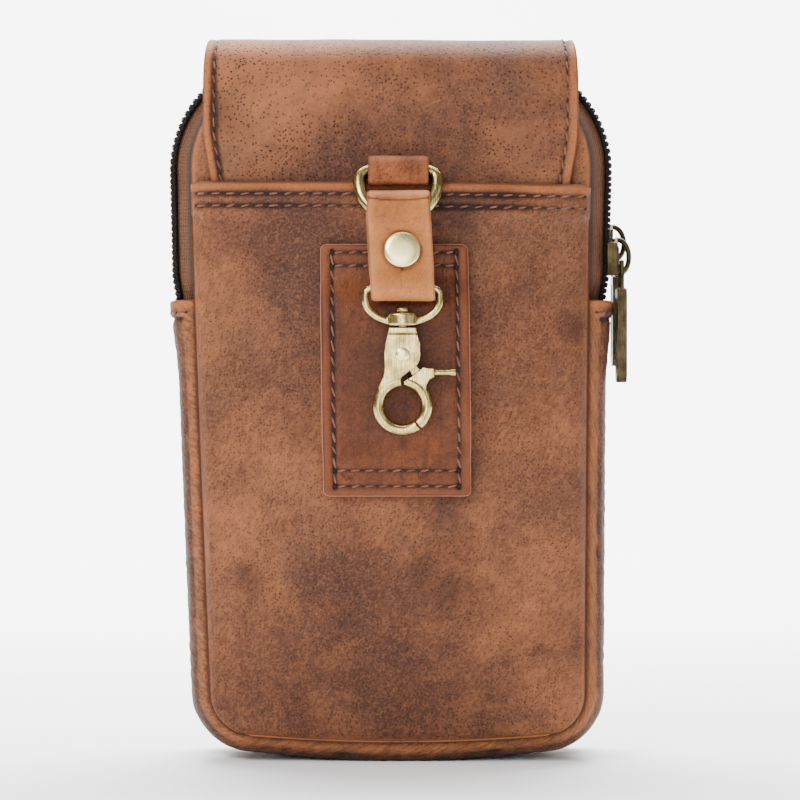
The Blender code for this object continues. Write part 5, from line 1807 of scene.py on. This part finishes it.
@dataclass
class BeltLoop:
    """The patch that a belt passes behind."""

    outline: Outline
    finishes: Finishes
    x: float = 2.0 * MM
    half_width: float = 18.7 * MM
    corner: float = 1.3 * MM
    base: float = 69.6 * MM
    top: float = 133.6 * MM
    leather: float = 2.2 * MM
    sewn: float = 7.2 * MM
    ramp: float = 9.5 * MM
    belt_gap: float = 4.4 * MM
    top_rows: tuple[float, float] = (1.9 * MM, 5.3 * MM)
    base_rows: tuple[float, float] = (2.4 * MM, 6.4 * MM)
    side_inset: float = 2.8 * MM
    shift: float = -1.1 * MM
    lean: float = 0.8 * MM
    clouds: Clouds = (
        (-8.0, 124.0, 12.0, 0.8),
        (8.0, 100.0, 16.0, -0.7),
        (-10.0, 84.0, 12.0, -0.5),
        (10.0, 80.0, 10.0, 0.4),
    )

    def plane(self) -> float:
        """Outer face of the flat middle."""
        heights = np.linspace(self.base, self.top, 9)
        face = self.outline.pocket_face(np.full(9, self.x), heights)
        return float(face.min()) - self.belt_gap - self.leather

    def surface(self, x: Array, z: Array) -> Array:
        """Outer face of the patch."""
        sewn = self.outline.pocket_face(x, z) - GAP - self.leather
        low, high = self.base + self.sewn, self.top - self.sewn
        lift = ease((z - low) / self.ramp) * ease((high - z) / self.ramp)
        y = sewn + (self.plane() - sewn) * lift
        return joined(x, y, z)

    def build(self) -> None:
        """Makes the patch and its sewing."""
        rows = [self.top - inset for inset in self.top_rows] + [self.base + inset for inset in self.base_rows]
        heights = graded(self.base, self.top, 0.8 * MM, 0.3 * MM, [*rows, self.base, self.top], 1.4 * MM)
        lines = [-self.half_width + self.side_inset, self.half_width - self.side_inset]
        half = self.half_width
        across = graded(-half, half, 0.8 * MM, 0.3 * MM, [*lines, -half, half], 1.4 * MM)
        z, x = np.meshgrid(heights, across, indexing="ij")
        short = np.maximum(self.corner - np.minimum(z - self.base, self.top - z), 0.0)
        pulled = self.corner - np.sqrt(np.maximum(self.corner**2 - short**2, 0.0))
        x = x * (1 - pulled / self.half_width)
        grid = self.leaned(self.surface(x + self.x, z))
        inside = np.minimum(np.minimum(half - np.abs(x), z - self.base), self.top - z)
        relief = 0.16 * MM * ripple(grid, (60, 60, 40), 51.0)
        between = (z > rows[2] - 1 * MM) & (z < rows[0] + 1 * MM)
        for line in lines:
            relief = relief + np.where(between, groove(x - line, 0.3 * MM, 0.75 * MM), 0.0)
        for row in rows:
            across_row = np.abs(x) < lines[1] + 0.6 * MM
            relief = relief + np.where(across_row, groove(z - row, 0.26 * MM, 0.75 * MM), 0.0)
        # The edge sinks a little and so is painted dark as shade along its outline.
        relief = relief - 0.2 * MM * ease(1 - inside / (0.9 * MM))
        tone = clouds(x, z, self.clouds)
        skin = Skin("loop_leather", grid, self.leather, relief, rim=0.25, square=0.6, tone=tone)
        dress(skin.build(), self.finishes.patch, "belt_loop")
        sewing = Sewing("loop_stitches", pitch=3.55 * MM, length=2.2 * MM, seed=12)
        width = lines[1]
        for row in rows:
            spread = np.linspace(-width, width, 80) + self.x
            sewing.along_surface(self.sunk, spread, np.full(80, row))
        sewing.pitch, sewing.slant, sewing.length = 3.95 * MM, 14.0, 2.9 * MM
        for line in lines:
            heights = np.linspace(rows[2], rows[0], 160)
            sewing.along_surface(self.sunk, np.full(160, line + self.x), heights)
        sewing.build(self.finishes)

    def leaned(self, points: Array) -> Array:
        """The patch's points, sewn on a little aslant."""
        shift = self.shift + self.lean * (self.top - points[..., 2]) / (self.top - self.base)
        return points + joined(shift, 0 * shift, 0 * shift)

    def sunk(self, x: Array, z: Array) -> Array:
        """Where the thread lies, in the bottom of its furrow."""
        return self.leaned(self.surface(x, z)) + (0.0, 0.14 * MM, 0.0)


# Strap, rings and hook


@dataclass
class Hanger:
    """The D-ring in its tab, and the riveted strap that hangs from it."""

    outline: Outline
    finishes: Finishes
    loop: BeltLoop
    ring_half: float = 9.9 * MM
    ring_rise: float = 4.1 * MM
    wire: float = 1.7 * MM
    bar: float = 153.0 * MM
    off_flap: float = 5.3 * MM
    lean: float = math.radians(24.0)
    tab_room: float = 0.7 * MM
    tab_half: float = 7.5 * MM
    tab_tuck: float = 9.0 * MM
    tab_turn: float = 1.3 * MM
    tab_hang: float = -0.9 * MM
    strap_leather: float = 1.6 * MM
    strap_half: float = 8.1 * MM
    fold_half: float = 7.8 * MM
    strap_room_at_ring: float = 0.6 * MM
    strap_top: float = 147.3 * MM
    strap_bottom: float = 118.9 * MM
    rivet_height: float = 131.4 * MM
    rivet_shift: float = 0.45 * MM
    cap: float = 4.6 * MM
    post: float = 1.2 * MM
    back: float = 3.0 * MM
    cap_thickness: float = 1.0 * MM
    pinch: float = 3.6 * MM
    hook_x: float = 3.05 * MM
    hook_off: float = 3.7 * MM
    eye_height: float = 119.2 * MM
    eye_rise: float = 3.2 * MM
    eye_wire: float = 1.0 * MM

    def bar_spot(self) -> Array:
        """Middle of the D-ring's straight bar."""
        x = self.outline.ring_x
        y = float(self.outline.back_face(x, self.bar)) - GAP - self.outline.flap_leather - self.off_flap
        return np.array((x, y, self.bar))

    def low_spot(self) -> Array:
        """Lowest point of the D-ring's wire."""
        below = self.ring_rise + self.ring_half
        return self.bar_spot() - (0.0, below * math.sin(self.lean), below * math.cos(self.lean))

    def hook_plane(self) -> float:
        """Middle plane of the swivel hook."""
        return self.loop.plane() - self.hook_off

    def ring(self) -> None:
        """The D-ring."""
        angles = 2 * math.pi * np.arange(160) / 160
        across, up = np.cos(angles), np.sin(angles)
        wide = np.where(up > 0, np.sign(across) * np.abs(across) ** (2 / 3.5), across)
        tall = np.where(up > 0, self.ring_rise * np.abs(up) ** (2 / 3.5), self.ring_half * up)
        points = np.stack([self.ring_half * wide, 0 * wide, tall - self.ring_rise], axis=1)
        points = evenly(np.concatenate([points, points[:1]]), 0.35 * MM)[:-1]
        lumps = Lumps().tube(points, self.wire, self.wire, closed=True, sides=24)
        ring = lumps.verts[0]
        y = ring[:, 1] * math.cos(self.lean) + ring[:, 2] * math.sin(self.lean)
        z = ring[:, 2] * math.cos(self.lean) - ring[:, 1] * math.sin(self.lean)
        lumps.verts[0] = np.stack([ring[:, 0], y, z], axis=1) + self.bar_spot()
        dress(lumps.object("ring_brass"), self.finishes.brass, "d_ring")

    def tab(self) -> None:
        """The tab folded over the bar."""
        bar = self.bar_spot()
        line = self.outline
        radius = self.wire + self.tab_room + line.tab_leather
        low = line.pocket_top - self.tab_tuck
        mouth = line.pocket_top + 2 * GAP

        def on_flap(z: float, lift: float) -> float:
            """Outer face of the tab where it lies on the flap."""
            return float(line.back_face(line.ring_x, z)) - 2 * GAP - line.flap_leather - lift

        def touch(y: float, z: float) -> float:
            """Angle at which a line from a place touches the fold."""
            away = math.hypot(y - bar[1], z - bar[2])
            return math.degrees(math.atan2(z - bar[2], y - bar[1]) + math.acos(min(radius / away, 1.0)))

        front = 2 * line.tab_leather + 0.2 * MM
        start = touch(on_flap(mouth, 0.0), mouth)
        route = [(on_flap(z, 0.0), z) for z in (low, mouth)]
        for angle in np.radians(np.linspace(start, 180.0, 34)):
            route.append((bar[1] + radius * math.cos(angle), bar[2] + radius * math.sin(angle)))
        turn = self.tab_turn
        foot = mouth + turn + self.tab_hang
        for angle in np.radians(np.linspace(180.0, 270.0, 10)):
            route.append((bar[1] - radius + turn + turn * math.cos(angle), foot + turn * math.sin(angle)))
        route += [(on_flap(z, front), z) for z in (mouth, low)]
        spots = evenly(np.asarray(route), 0.4 * MM)
        share = np.linspace(1, -1, 31)[None, :]
        x = line.ring_x + self.tab_half * share
        y = np.broadcast_to(spots[:, :1], (len(spots), 31))
        grid = joined(x, y, spots[:, 1:])
        relief = 0.15 * MM * ripple(grid, (110, 110, 110), 61.0)
        relief = relief - 0.2 * MM * ease((np.abs(share) - 0.88) / 0.12)
        tone = 2.4 * ripple(grid, (160, 160, 160), 63.0)
        skin = Skin("tab_leather", grid, line.tab_leather, relief, rim=0.5, tone=tone)
        dress(skin.build(), self.finishes.tab, "d_ring_tab")

    def middle(self, z: float) -> tuple[float, float]:
        """Where the strap's middle lies at a height: (x, y)."""
        top = self.low_spot()
        low = self.eye_height + self.eye_rise
        if z > top[2]:
            return top[0], top[1] + (z - top[2]) * math.tan(self.lean)
        share = (z - low) / (top[2] - low)
        plane = self.hook_plane()
        return self.hook_x + (top[0] - self.hook_x) * share, plane + (top[1] - plane) * share

    def strap_lean(self) -> float:
        """How far the strap leans outward."""
        top = self.low_spot()
        return math.atan2(top[1] - self.hook_plane(), top[2] - self.eye_height - self.eye_rise)

    def room(self, z: float) -> float:
        """Half of the space between the strap's two layers."""
        at_ring = self.wire + self.strap_room_at_ring
        at_eye = self.eye_wire + GAP
        top = self.low_spot()[2]
        low = self.eye_height + self.eye_rise
        rivet = self.rivet_height
        above = float(ease((z - rivet - self.pinch) / (top - 2.5 * GAP - rivet - self.pinch)))
        below = float(ease((rivet - self.pinch - z) / (rivet - self.pinch - GAP - low)))
        return GAP / 2 + (at_ring - GAP / 2) * above + (at_eye - GAP / 2) * below

    def route(self) -> Array:
        """The strap's outer face as (y, z), round from the back's middle and back to it."""
        top_room = self.wire + self.strap_room_at_ring + self.strap_leather
        low_room = self.eye_wire + GAP + self.strap_leather
        top_z, low_z = self.strap_top - top_room, self.strap_bottom + low_room
        meeting = self.rivet_height + self.back + 1.2 * MM
        spots = []
        for z in np.linspace(meeting - 0.4 * MM, low_z, 60):
            spots.append((self.middle(z)[1] + self.room(z) + self.strap_leather, z))
        low_y, top_y = self.middle(low_z)[1], self.middle(top_z)[1]
        for turn in np.linspace(0, -math.pi, 40):
            spots.append((low_y + low_room * math.cos(turn), low_z + low_room * math.sin(turn)))
        for z in np.linspace(low_z, top_z, 120):
            spots.append((self.middle(z)[1] - self.room(z) - self.strap_leather, z))
        for turn in np.linspace(math.pi, 0, 40):
            spots.append((top_y + top_room * math.cos(turn), top_z + top_room * math.sin(turn)))
        for z in np.linspace(top_z, meeting, 60):
            spots.append((self.middle(z)[1] + self.room(z) + self.strap_leather, z))
        return evenly(np.asarray(spots), 0.4 * MM)

    def half_at(self, z: Array) -> Array:
        """Half width of the strap at a height."""
        below_ring = ease((self.low_spot()[2] + 4.5 * MM - z) / (4 * MM))
        above_eye = 0.4 + 0.6 * ease((z - self.eye_height - self.eye_rise - 2 * self.eye_wire) / (3 * MM))
        return self.fold_half + (self.strap_half - self.fold_half) * np.minimum(below_ring, above_eye)

    def strap(self) -> None:
        """The folded strap with its painted edges."""
        route = self.route()
        share = graded(-1, 1, 0.07, 0.02, [-1, 1], 0.12)[None, :]
        middle = np.array([self.middle(z)[0] for z in route[:, 1]])[:, None]
        half = self.half_at(route[:, 1])[:, None]
        x = middle + half * share
        y = np.broadcast_to(route[:, :1], x.shape)
        z = np.broadcast_to(route[:, 1:], x.shape)
        grid = joined(x, y, z)
        front = y < self.middle(float(self.rivet_height))[1] + 1 * MM
        relief = 0.12 * MM * ripple(grid, (90, 90, 90), 71.0) - 0.22 * MM * ease((np.abs(share) - 0.9) / 0.1)
        # Grooves on the strap's front, a crack, a crease under the top fold and a ring round the cap, are
        # painted dark as shade through their depth.
        crack = bell(x - middle - 0.5 * MM * ripple(grid, (10, 10, 400), 73.0), 0.25 * MM)
        crack = crack * ease((128.0 * MM - z) / (1 * MM)) * ease((z - 121.5 * MM) / (1 * MM))
        crescent = bell(z - self.strap_top + 2.7 * MM - 0.7 * MM * np.abs(share) ** 2, 0.3 * MM)
        relief = relief - front * (0.18 * MM * crack + 0.3 * MM * crescent)
        near_cap = np.hypot(x - middle - self.rivet_shift, (z - self.rivet_height)) - self.cap
        relief = relief - front * 0.15 * MM * bell(near_cap, 0.8 * MM)
        tone = 2.0 * ripple(grid, (60, 60, 60), 75.0)
        skin = Skin("strap_leather", grid, self.strap_leather, relief, rim=0.2, square=0.55, tone=tone)
        dress(skin.build(), self.finishes.strap, "hanger_strap")

    def rivet(self) -> None:
        """The rivet with its domed cap."""
        half = self.strap_leather + 1.5 * GAP + 0.5 * MM
        thick = self.cap_thickness
        profile = [(0.0, half + thick), (0.8 * self.back, half + thick), (self.back, half + 0.6 * thick)]
        profile += [(self.back, half), (self.post, half - 0.1 * MM), (self.post, -half + 0.1 * MM)]
        profile += [(self.cap * 0.97, -half), (self.cap, -half - 0.12 * thick)]
        for step in np.linspace(0.1, 1.0, 14):
            angle = step * math.pi / 2
            radius = self.cap * math.cos(angle) ** 0.55 if step < 1 else 0.0
            profile.append((radius, -half - thick * (0.2 + 0.8 * math.sin(angle))))
        lumps = Lumps().spun(profile[::-1], "Y")
        verts = lumps.verts[0]
        lean = -self.strap_lean()
        y = verts[:, 1] * math.cos(lean) - verts[:, 2] * math.sin(lean)
        z = verts[:, 1] * math.sin(lean) + verts[:, 2] * math.cos(lean)
        x, middle_y = self.middle(self.rivet_height)
        x += self.rivet_shift
        lumps.verts[0] = np.stack([verts[:, 0] + x, y + middle_y, z + self.rivet_height], axis=1)
        dress(lumps.object("rivet_brass"), self.finishes.cap, "rivet")

    def build(self) -> None:
        """Makes the tab, the ring, the strap and the rivet."""
        self.tab()
        self.ring()
        self.strap()
        self.rivet()


@dataclass
class SnapHook:
    """The swivel snap hook: eye and collar, fixed half, gate and pin. Sizes are in millimetres."""

    hanger: Hanger
    finishes: Finishes
    eye_half: float = 9.4
    eye_drop: float = 5.8
    collar_base: float = 112.7
    collar_height: float = 3.3
    collar_radius: float = 3.9
    stem: float = 1.1
    head: float = 1.75
    neck_clearance: float = 0.5
    pin_drop: float = 6.7
    thickness: float = 3.6
    half_width: float = 4.6
    housing: float = 4.55
    ring_drop: float = 12.96
    ring_outer: float = 7.7
    ring_inner: float = 4.6
    cut: float = -53.7
    pin: float = 0.9
    pin_head: float = 1.75
    hub: float = 3.0
    tang: float = 1.1
    lever: float = 13.4
    swing: float = 27.0

    def eye(self) -> None:
        """The wire eye and the collar that the stem turns in."""
        angles = 2 * math.pi * np.arange(120) / 120
        across, up = np.cos(angles), np.sin(angles)
        wide = np.where(up > 0, np.sign(across) * np.abs(across) ** (2 / 5), across)
        tall = np.where(up > 0, self.hanger.eye_rise / MM * np.abs(up) ** (2 / 5), self.eye_drop * up)
        points = np.stack([self.eye_half * wide, 0 * wide, tall], axis=1)
        points = evenly(np.concatenate([points, points[:1]]), 0.3)[:-1]
        lumps = Lumps().tube(points, 1.0, 1.0, closed=True)
        low = self.collar_base - self.hanger.eye_height / MM
        high = low + self.collar_height
        radius = self.collar_radius
        profile = [(0.0, low), (radius * 0.92, low), (radius, low + 0.3), (radius, high - 0.5)]
        profile += [(radius * 0.9, high - 0.1), (radius * 0.6, high), (0.0, high)]
        lumps.spun(profile, "Z", sides=40)
        collar = lumps.verts[-1]
        collar[:, 1] *= 0.75
        bore = self.post(Lumps(), self.stem + 0.3, low - 5, high + 5, 32)
        centre = np.array((self.hanger.hook_x, self.hanger.hook_plane(), self.hanger.eye_height))
        thing = Casting("eye_brass", lumps, centre, 0.15, 4, bore).build()
        dress(thing, self.finishes.brass, "swivel_eye")

    @staticmethod
    def post(lumps: Lumps, radius: float, low: float, high: float, sides: int) -> Lumps:
        """Adds an upright round post."""
        return lumps.spun([(0.0, low), (radius, low), (radius, high), (0.0, high)], "Z", sides=sides)

    def pin_spot(self) -> Array:
        """Middle of the gate's pin."""
        z = (self.collar_base - self.neck_clearance - self.pin_drop) * MM
        return np.array((self.hanger.hook_x, self.hanger.hook_plane(), z))

    def ring_bar(self, lumps: Lumps, start: float, end: float) -> None:
        """Adds a stretch of the round ring."""
        middle = (self.ring_outer + self.ring_inner) / 2
        flat = arc((0.0, -self.ring_drop), middle, start, end, 60)
        points = np.array([(x, 0.0, z) for x, z in flat])
        lumps.tube(points, (self.ring_outer - self.ring_inner) / 2, self.thickness / 2, sides=24)

    def body(self) -> None:
        """The fixed half: neck, housing and most of the ring."""
        half, drop, top = self.half_width, self.ring_drop, self.pin_drop
        upper = ((-0.78, 1.0), (-0.82, 0.78), (-0.95, 0.38), (-1.0, 0.12))
        lower = ((-1.0, -0.1), (-0.98, -0.25), (-1.04, -0.42), (-1.16, -0.52), (-1.32, -0.63))
        left = [(across * half, up * top) for across, up in upper]
        left += [(across * half, up * drop) for across, up in lower]
        inner_side = arc((0.0, -drop), self.ring_outer - 0.9, 150, 100, 8)
        slit = [(-0.4, -drop + self.ring_inner + 0.2), (-0.08 * half, -0.455 * drop)]
        housing = arc((0.0, 0.0), self.housing, -68, 12, 20)
        right = [(0.98 * half, 0.38 * top), (0.78 * half, 0.78 * top), (0.74 * half, top)]
        outline = left + inner_side + slit + housing + right
        lumps = Lumps().prism(outline, self.thickness)
        self.ring_bar(lumps, 96, 360 + self.cut)
        neck = [(-0.74 * half, top), (-0.8 * half, 0.8 * top), (0.8 * half, 0.8 * top), (0.74 * half, top)]
        lumps.prism(neck, self.thickness + 0.5)
        stem_top = top + self.neck_clearance + self.collar_height + 0.3
        self.post(lumps, self.stem, top - 1, stem_top + 0.2, 24)
        head = [(0.0, 0.0), (self.head, 0.0), (self.head, 0.7), (self.head - 0.3, 1.0), (0.0, 1.0)]
        lumps.spun([(radius, stem_top + up) for radius, up in head], "Z", sides=32)
        wide = self.tang + 0.6
        cuts = Lumps().prism(arc((0.0, 0.0), self.hub + 0.3, 0, 354, 40), wide)
        sector = [(0.0, 0.0)] + arc((0.0, 0.0), 0.9 * drop, -80, -20 + self.swing, 12)
        cuts.prism(sector, wide)
        ring = [(self.pin_head + 0.45, -3.0), (self.pin_head + 0.45, -self.thickness / 2 + 0.28)]
        cuts.spun([(0.0, -3.0), *ring, (0.0, -self.thickness / 2 + 0.28)], "Y", sides=40)
        for way in (-1, 1):
            cuts.box((2.4 * half, 0.7, 0.35), (0.0, way * (self.thickness / 2 + 0.1), 0.76 * top))
        thing = Casting("hook_brass", lumps, self.pin_spot(), 0.1, 8, cuts).build()
        dress(thing, self.finishes.brass, "hook_body", body=Body.HOOK)

    def gate(self) -> None:
        """The moving half with its lever."""
        drop = self.ring_drop
        thick = self.thickness - 0.4
        shoulder, lever = -0.275 * drop, 2.0
        plate = [(0.03 * drop, -0.53 * drop), (0.155 * drop, -0.453 * drop), (0.31 * drop, -0.345 * drop)]
        plate += [(0.40 * drop, -0.25 * drop), (0.50 * drop, -0.27 * drop), (0.62 * drop, shoulder - 0.05)]
        plate += [(0.62 * drop, shoulder - 1.05 * lever), (0.52 * drop, shoulder - 1.4 * lever)]
        plate += [(0.465 * drop, shoulder - 2.1 * lever), (0.46 * drop, shoulder - 2.8 * lever)]
        plate += [(0.50 * drop, -drop + 0.30 * drop)]
        plate += arc((0.0, -drop), self.ring_inner + 0.7, 40, 86, 10)
        lumps = Lumps().prism(plate, thick)
        self.ring_bar(lumps, self.cut + 3.4, 80)
        points = np.array([(x, 0.0, shoulder - lever / 2) for x in np.linspace(0.5 * drop, self.lever, 30)])
        widths = lever / 2 * (0.94 + 0.14 * ease((points[:, 0] - self.lever + 1.5) / 0.3))
        lumps.tube(points, widths, thick / 2 * 0.82, sides=20)
        lumps.prism(arc((0.0, 0.0), self.hub, 0, 350, 36), self.tang)
        lumps.prism([(0.0, 0.0)] + arc((0.0, 0.0), 0.52 * drop, -66, -40, 6), self.tang)
        bore = Lumps().prism(arc((0.0, 0.0), self.pin + 0.3, 0, 350, 24), 8.0)
        thing = Casting("gate_brass", lumps, self.pin_spot(), 0.1, 9, bore).build()
        dress(thing, self.finishes.brass, "hook_gate", body=Body.GATE)

    def rivet_pin(self) -> None:
        """The pin with its domed heads."""
        half = self.thickness / 2 + 0.05
        head = self.pin_head
        profile = [(0.0, half + 0.5), (0.7 * head, half + 0.42), (head, half), (self.pin, half)]
        profile += [(self.pin, -half), (head, -half + 0.1), (head, -half - 0.2)]
        profile += [(0.85 * head, -half - 0.42), (0.5 * head, -half - 0.55)]
        lumps = Lumps().spun([*profile, (0.0, -half - 0.6)][::-1], "Y", sides=48)
        lumps.verts[0] = lumps.verts[0] * MM + self.pin_spot()
        dress(lumps.object("pin_brass"), self.finishes.cap, "hook_pin", body=Body.HOOK)

    def build(self) -> None:
        """Makes the hook."""
        self.eye()
        self.body()
        self.gate()
        self.rivet_pin()


@dataclass
class Slider:
    """A zip's slider and its pull. Sizes are in millimetres."""

    lobe: Lobe
    outline: Outline
    finishes: Finishes
    height: float = 131.4
    front_lift: float = 4.5
    length: float = 9.8
    width: float = 7.8
    plate: float = 1.1
    coil_height: float = 2.0
    coil_width: float = 5.0
    coil_reach: float = 6.6
    crown_reach: float = 3.8
    crown_length: float = 9.2
    crown_band: float = 1.4
    crown_width: float = 2.2
    pull_length: float = 24.6
    pull_width: float = 8.0
    pull_thickness: float = 2.6
    arm_length: float = 6.9
    arm: float = 1.3
    chamfer: float = 1.6

    def spot(self) -> Array:
        """Foot of the crown, in metres."""
        near, far = self.outline.lobe(self.lobe)
        z = (self.height + (self.front_lift if self.lobe is Lobe.FRONT else 0.0)) * MM
        x = float(self.outline.side(z)) + (self.coil_reach + 0.3 + self.plate) * MM
        return np.array((x, (near + far) / 2, z))

    @staticmethod
    def turned(lumps: Lumps) -> Lumps:
        """Turns bodies drawn in the XZ plane so that their X runs along -Y and their depth along X."""
        lumps.verts = [part[:, (1, 0, 2)] * (1, -1, 1) for part in lumps.verts]
        return lumps

    def slide(self) -> None:
        """The slider's body with its crown."""
        half, long = self.width / 2, self.length / 2
        shape = [(-0.5 * half, long), (0.5 * half, long), (0.92 * half, 0.72 * long), (half, 0.3 * long)]
        shape += [(half, -0.8 * long), (0.86 * half, -long), (-0.86 * half, -long), (-half, -0.8 * long)]
        shape += [(-half, 0.3 * long), (-0.92 * half, 0.72 * long)]
        lumps = Lumps().prism(shape, self.plate, (0.0, -self.plate / 2, 0.0))
        skirt = self.plate + 0.75 * self.coil_height + 0.3
        for side in (-1, 1):
            flank = (half - self.coil_width / 2 - 0.3)
            centre = (side * (half - flank / 2), -skirt / 2, -0.1 * long)
            lumps.box((flank, skirt, 1.7 * long), centre)
        self.turned(lumps)
        angles = np.linspace(0, math.pi, 40)
        reach = self.crown_reach - self.crown_band / 2 + 0.5
        rise = reach * np.sin(angles) ** 0.8 - 0.5
        points = joined(rise, 0 * angles, self.crown_length / 2 * np.cos(angles))
        lumps.tube(points, self.crown_band / 2, self.crown_width / 2, sides=16)
        thing = Casting(f"slider_brass_{self.lobe.value}", lumps, self.spot(), 0.2, 4).build()
        name = f"slider_{self.lobe.value}"
        dress(thing, self.finishes.dark_brass, name)

    def pull(self) -> None:
        """The long pull with its two arms."""
        half = self.pull_width / 2
        top, low, cut = -self.arm_length, -self.arm_length - self.pull_length, self.chamfer
        outline = [(-half, top - 0.8), (-half, low + cut), (-half + cut, low), (half - cut, low)]
        outline += [(half, low + cut), (half, top - 0.8), (half - 0.8, top), (-half + 0.8, top)]
        lumps = Lumps().prism(outline, self.pull_thickness)
        inner = self.crown_width / 2 + 0.4
        for side in (-1, 1):
            middle = side * (inner + self.arm / 2)
            points = np.array([(middle, 0.0, z) for z in np.linspace(0.3, top - 1.0, 14)])
            lumps.tube(points, self.arm / 2, self.arm / 2, sides=16)
        outer = inner + self.arm
        bar = np.array([(x, 0.0, 0.0) for x in np.linspace(-outer + 0.1, outer - 0.1, 8)])
        lumps.tube(bar, 0.47 * self.arm, 0.47 * self.arm, sides=14)
        self.turned(lumps)
        cuts = Lumps()
        for side in (-1, 1):
            face = (0.0, side * self.pull_thickness / 2, (top + low) / 2)
            cuts.box((self.pull_width - 2.4, 0.5, self.pull_length - 4.6), face)
        self.turned(cuts)
        centre = self.spot() + np.array((1.1, 0.0, -1.3)) * MM
        thing = Casting(f"pull_brass_{self.lobe.value}", lumps, centre, 0.2, 3, cuts).build()
        body = Body.PULL_REAR if self.lobe is Lobe.REAR else Body.PULL_FRONT
        dress(thing, self.finishes.dark_brass, f"pull_tab_{self.lobe.value}", body=body)

    def build(self) -> None:
        """Makes the slider and its pull."""
        self.slide()
        self.pull()


# Studio


class Lamp(NamedTuple):
    """A soft square lamp, in metres and watts."""

    name: str
    place: tuple[float, float, float]
    size: float
    power: float
    target: tuple[float, float, float] = (0.0, 0.0, 0.1)


@dataclass
class Studio:
    """Floor, light and camera."""

    finishes: Finishes
    distance: float = 0.710
    back_plane: float = -0.0106
    height: float = 0.094
    view_width: float = 0.2067
    sweep: float = 2.4
    lamps: tuple[Lamp, ...] = (
        Lamp("key", (-0.6, -0.75, 0.8), 0.5, 13.0),
        Lamp("front", (-0.12, -1.05, 0.3), 0.55, 5.0),
        Lamp("fill", (0.75, -0.7, 0.35), 0.8, 1.6),
        Lamp("top", (0.0, 0.1, 1.1), 0.8, 5.0),
        Lamp("backdrop", (0.0, 0.6, 1.3), 1.2, 140.0, (0.0, 1.5, 0.4)),
    )

    def floor(self) -> None:
        """A pale floor that sweeps up behind the bag."""
        profile = [(-self.sweep, 0.0), (1.0, 0.0)]
        for a in np.linspace(0.1, math.pi / 2, 14):
            profile.append((1.0 + 0.6 * math.sin(a), 0.6 - 0.6 * math.cos(a)))
        profile += [(1.6, 2.6)]
        left = np.array([(-self.sweep, y, z) for y, z in profile])
        right = left * (-1, 1, 1)
        count = len(profile)
        faces = [[i, i + count, i + count + 1, i + 1] for i in range(count - 1)]
        sweep = new_mesh("floor", np.concatenate([left, right]) - TO_FRAME, faces)
        sweep.data.materials.append(self.finishes.floor)

    def light(self, lamp: Lamp) -> None:
        """Hangs one lamp and aims it."""
        glow = bpy.data.lights.new(lamp.name, "AREA")
        glow.size = lamp.size
        glow.energy = lamp.power
        thing = bpy.data.objects.new(lamp.name, glow)
        thing.location = lamp.place
        aim = Vector(lamp.target) - Vector(lamp.place)
        thing.rotation_euler = aim.to_track_quat("-Z", "Y").to_euler()
        bpy.context.scene.collection.objects.link(thing)

    def world(self) -> None:
        """Even white surroundings, a little darker low down."""
        world = bpy.data.worlds.new("studio")
        world.use_nodes = True
        tree = world.node_tree
        shade = tree.nodes["Background"]
        place = tree.nodes.new("ShaderNodeTexCoord")
        split = tree.nodes.new("ShaderNodeSeparateXYZ")
        ramp = tree.nodes.new("ShaderNodeValToRGB")
        tree.links.new(place.outputs["Generated"], split.inputs[0])
        tree.links.new(split.outputs["Z"], ramp.inputs["Fac"])
        ramp.color_ramp.elements[0].position = 0.0
        ramp.color_ramp.elements[0].color = (0.35, 0.35, 0.36, 1.0)
        ramp.color_ramp.elements[1].position = 0.7
        ramp.color_ramp.elements[1].color = (1.0, 1.0, 1.0, 1.0)
        tree.links.new(ramp.outputs["Color"], shade.inputs["Color"])
        shade.inputs["Strength"].default_value = 0.3
        bpy.context.scene.world = world

    def camera(self) -> None:
        """The photo's view: level and square on the belt side."""
        lens = bpy.data.cameras.new("camera")
        lens.sensor_width = 36.0
        lens.lens = 36.0 * self.distance / self.view_width
        lens.clip_start = 0.01
        thing = bpy.data.objects.new("camera", lens)
        thing.location = (0.0, self.back_plane - self.distance, self.height)
        thing.rotation_euler = (math.pi / 2, 0.0, 0.0)
        bpy.context.scene.collection.objects.link(thing)
        bpy.context.scene.camera = thing

    def build(self) -> None:
        """Sets the studio up."""
        self.floor()
        for lamp in self.lamps:
            self.light(lamp)
        self.world()
        self.camera()


def corners(box: Any) -> list[list[float]]:
    """A box as plain lists."""
    return [[float(value) for value in corner] for corner in box]


def main() -> None:
    """Builds the bag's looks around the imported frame."""
    logging.basicConfig(level=logging.INFO, format="%(name)s %(message)s")
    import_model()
    finishes = Finishes()
    outline = Outline()
    Panels(outline, finishes).build()
    Flap(outline, finishes).build()
    loop = BeltLoop(outline, finishes)
    loop.build()
    for lobe in Lobe:
        Gusset(lobe, outline, finishes).build()
        Zip(lobe, outline, finishes).build()
        Slider(lobe, outline, finishes).build()
    hanger = Hanger(outline, finishes, loop)
    hanger.build()
    SnapHook(hanger, finishes).build()
    Studio(finishes).build()
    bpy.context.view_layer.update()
    LOG.info("done")


if __name__ == "__main__":
    main()
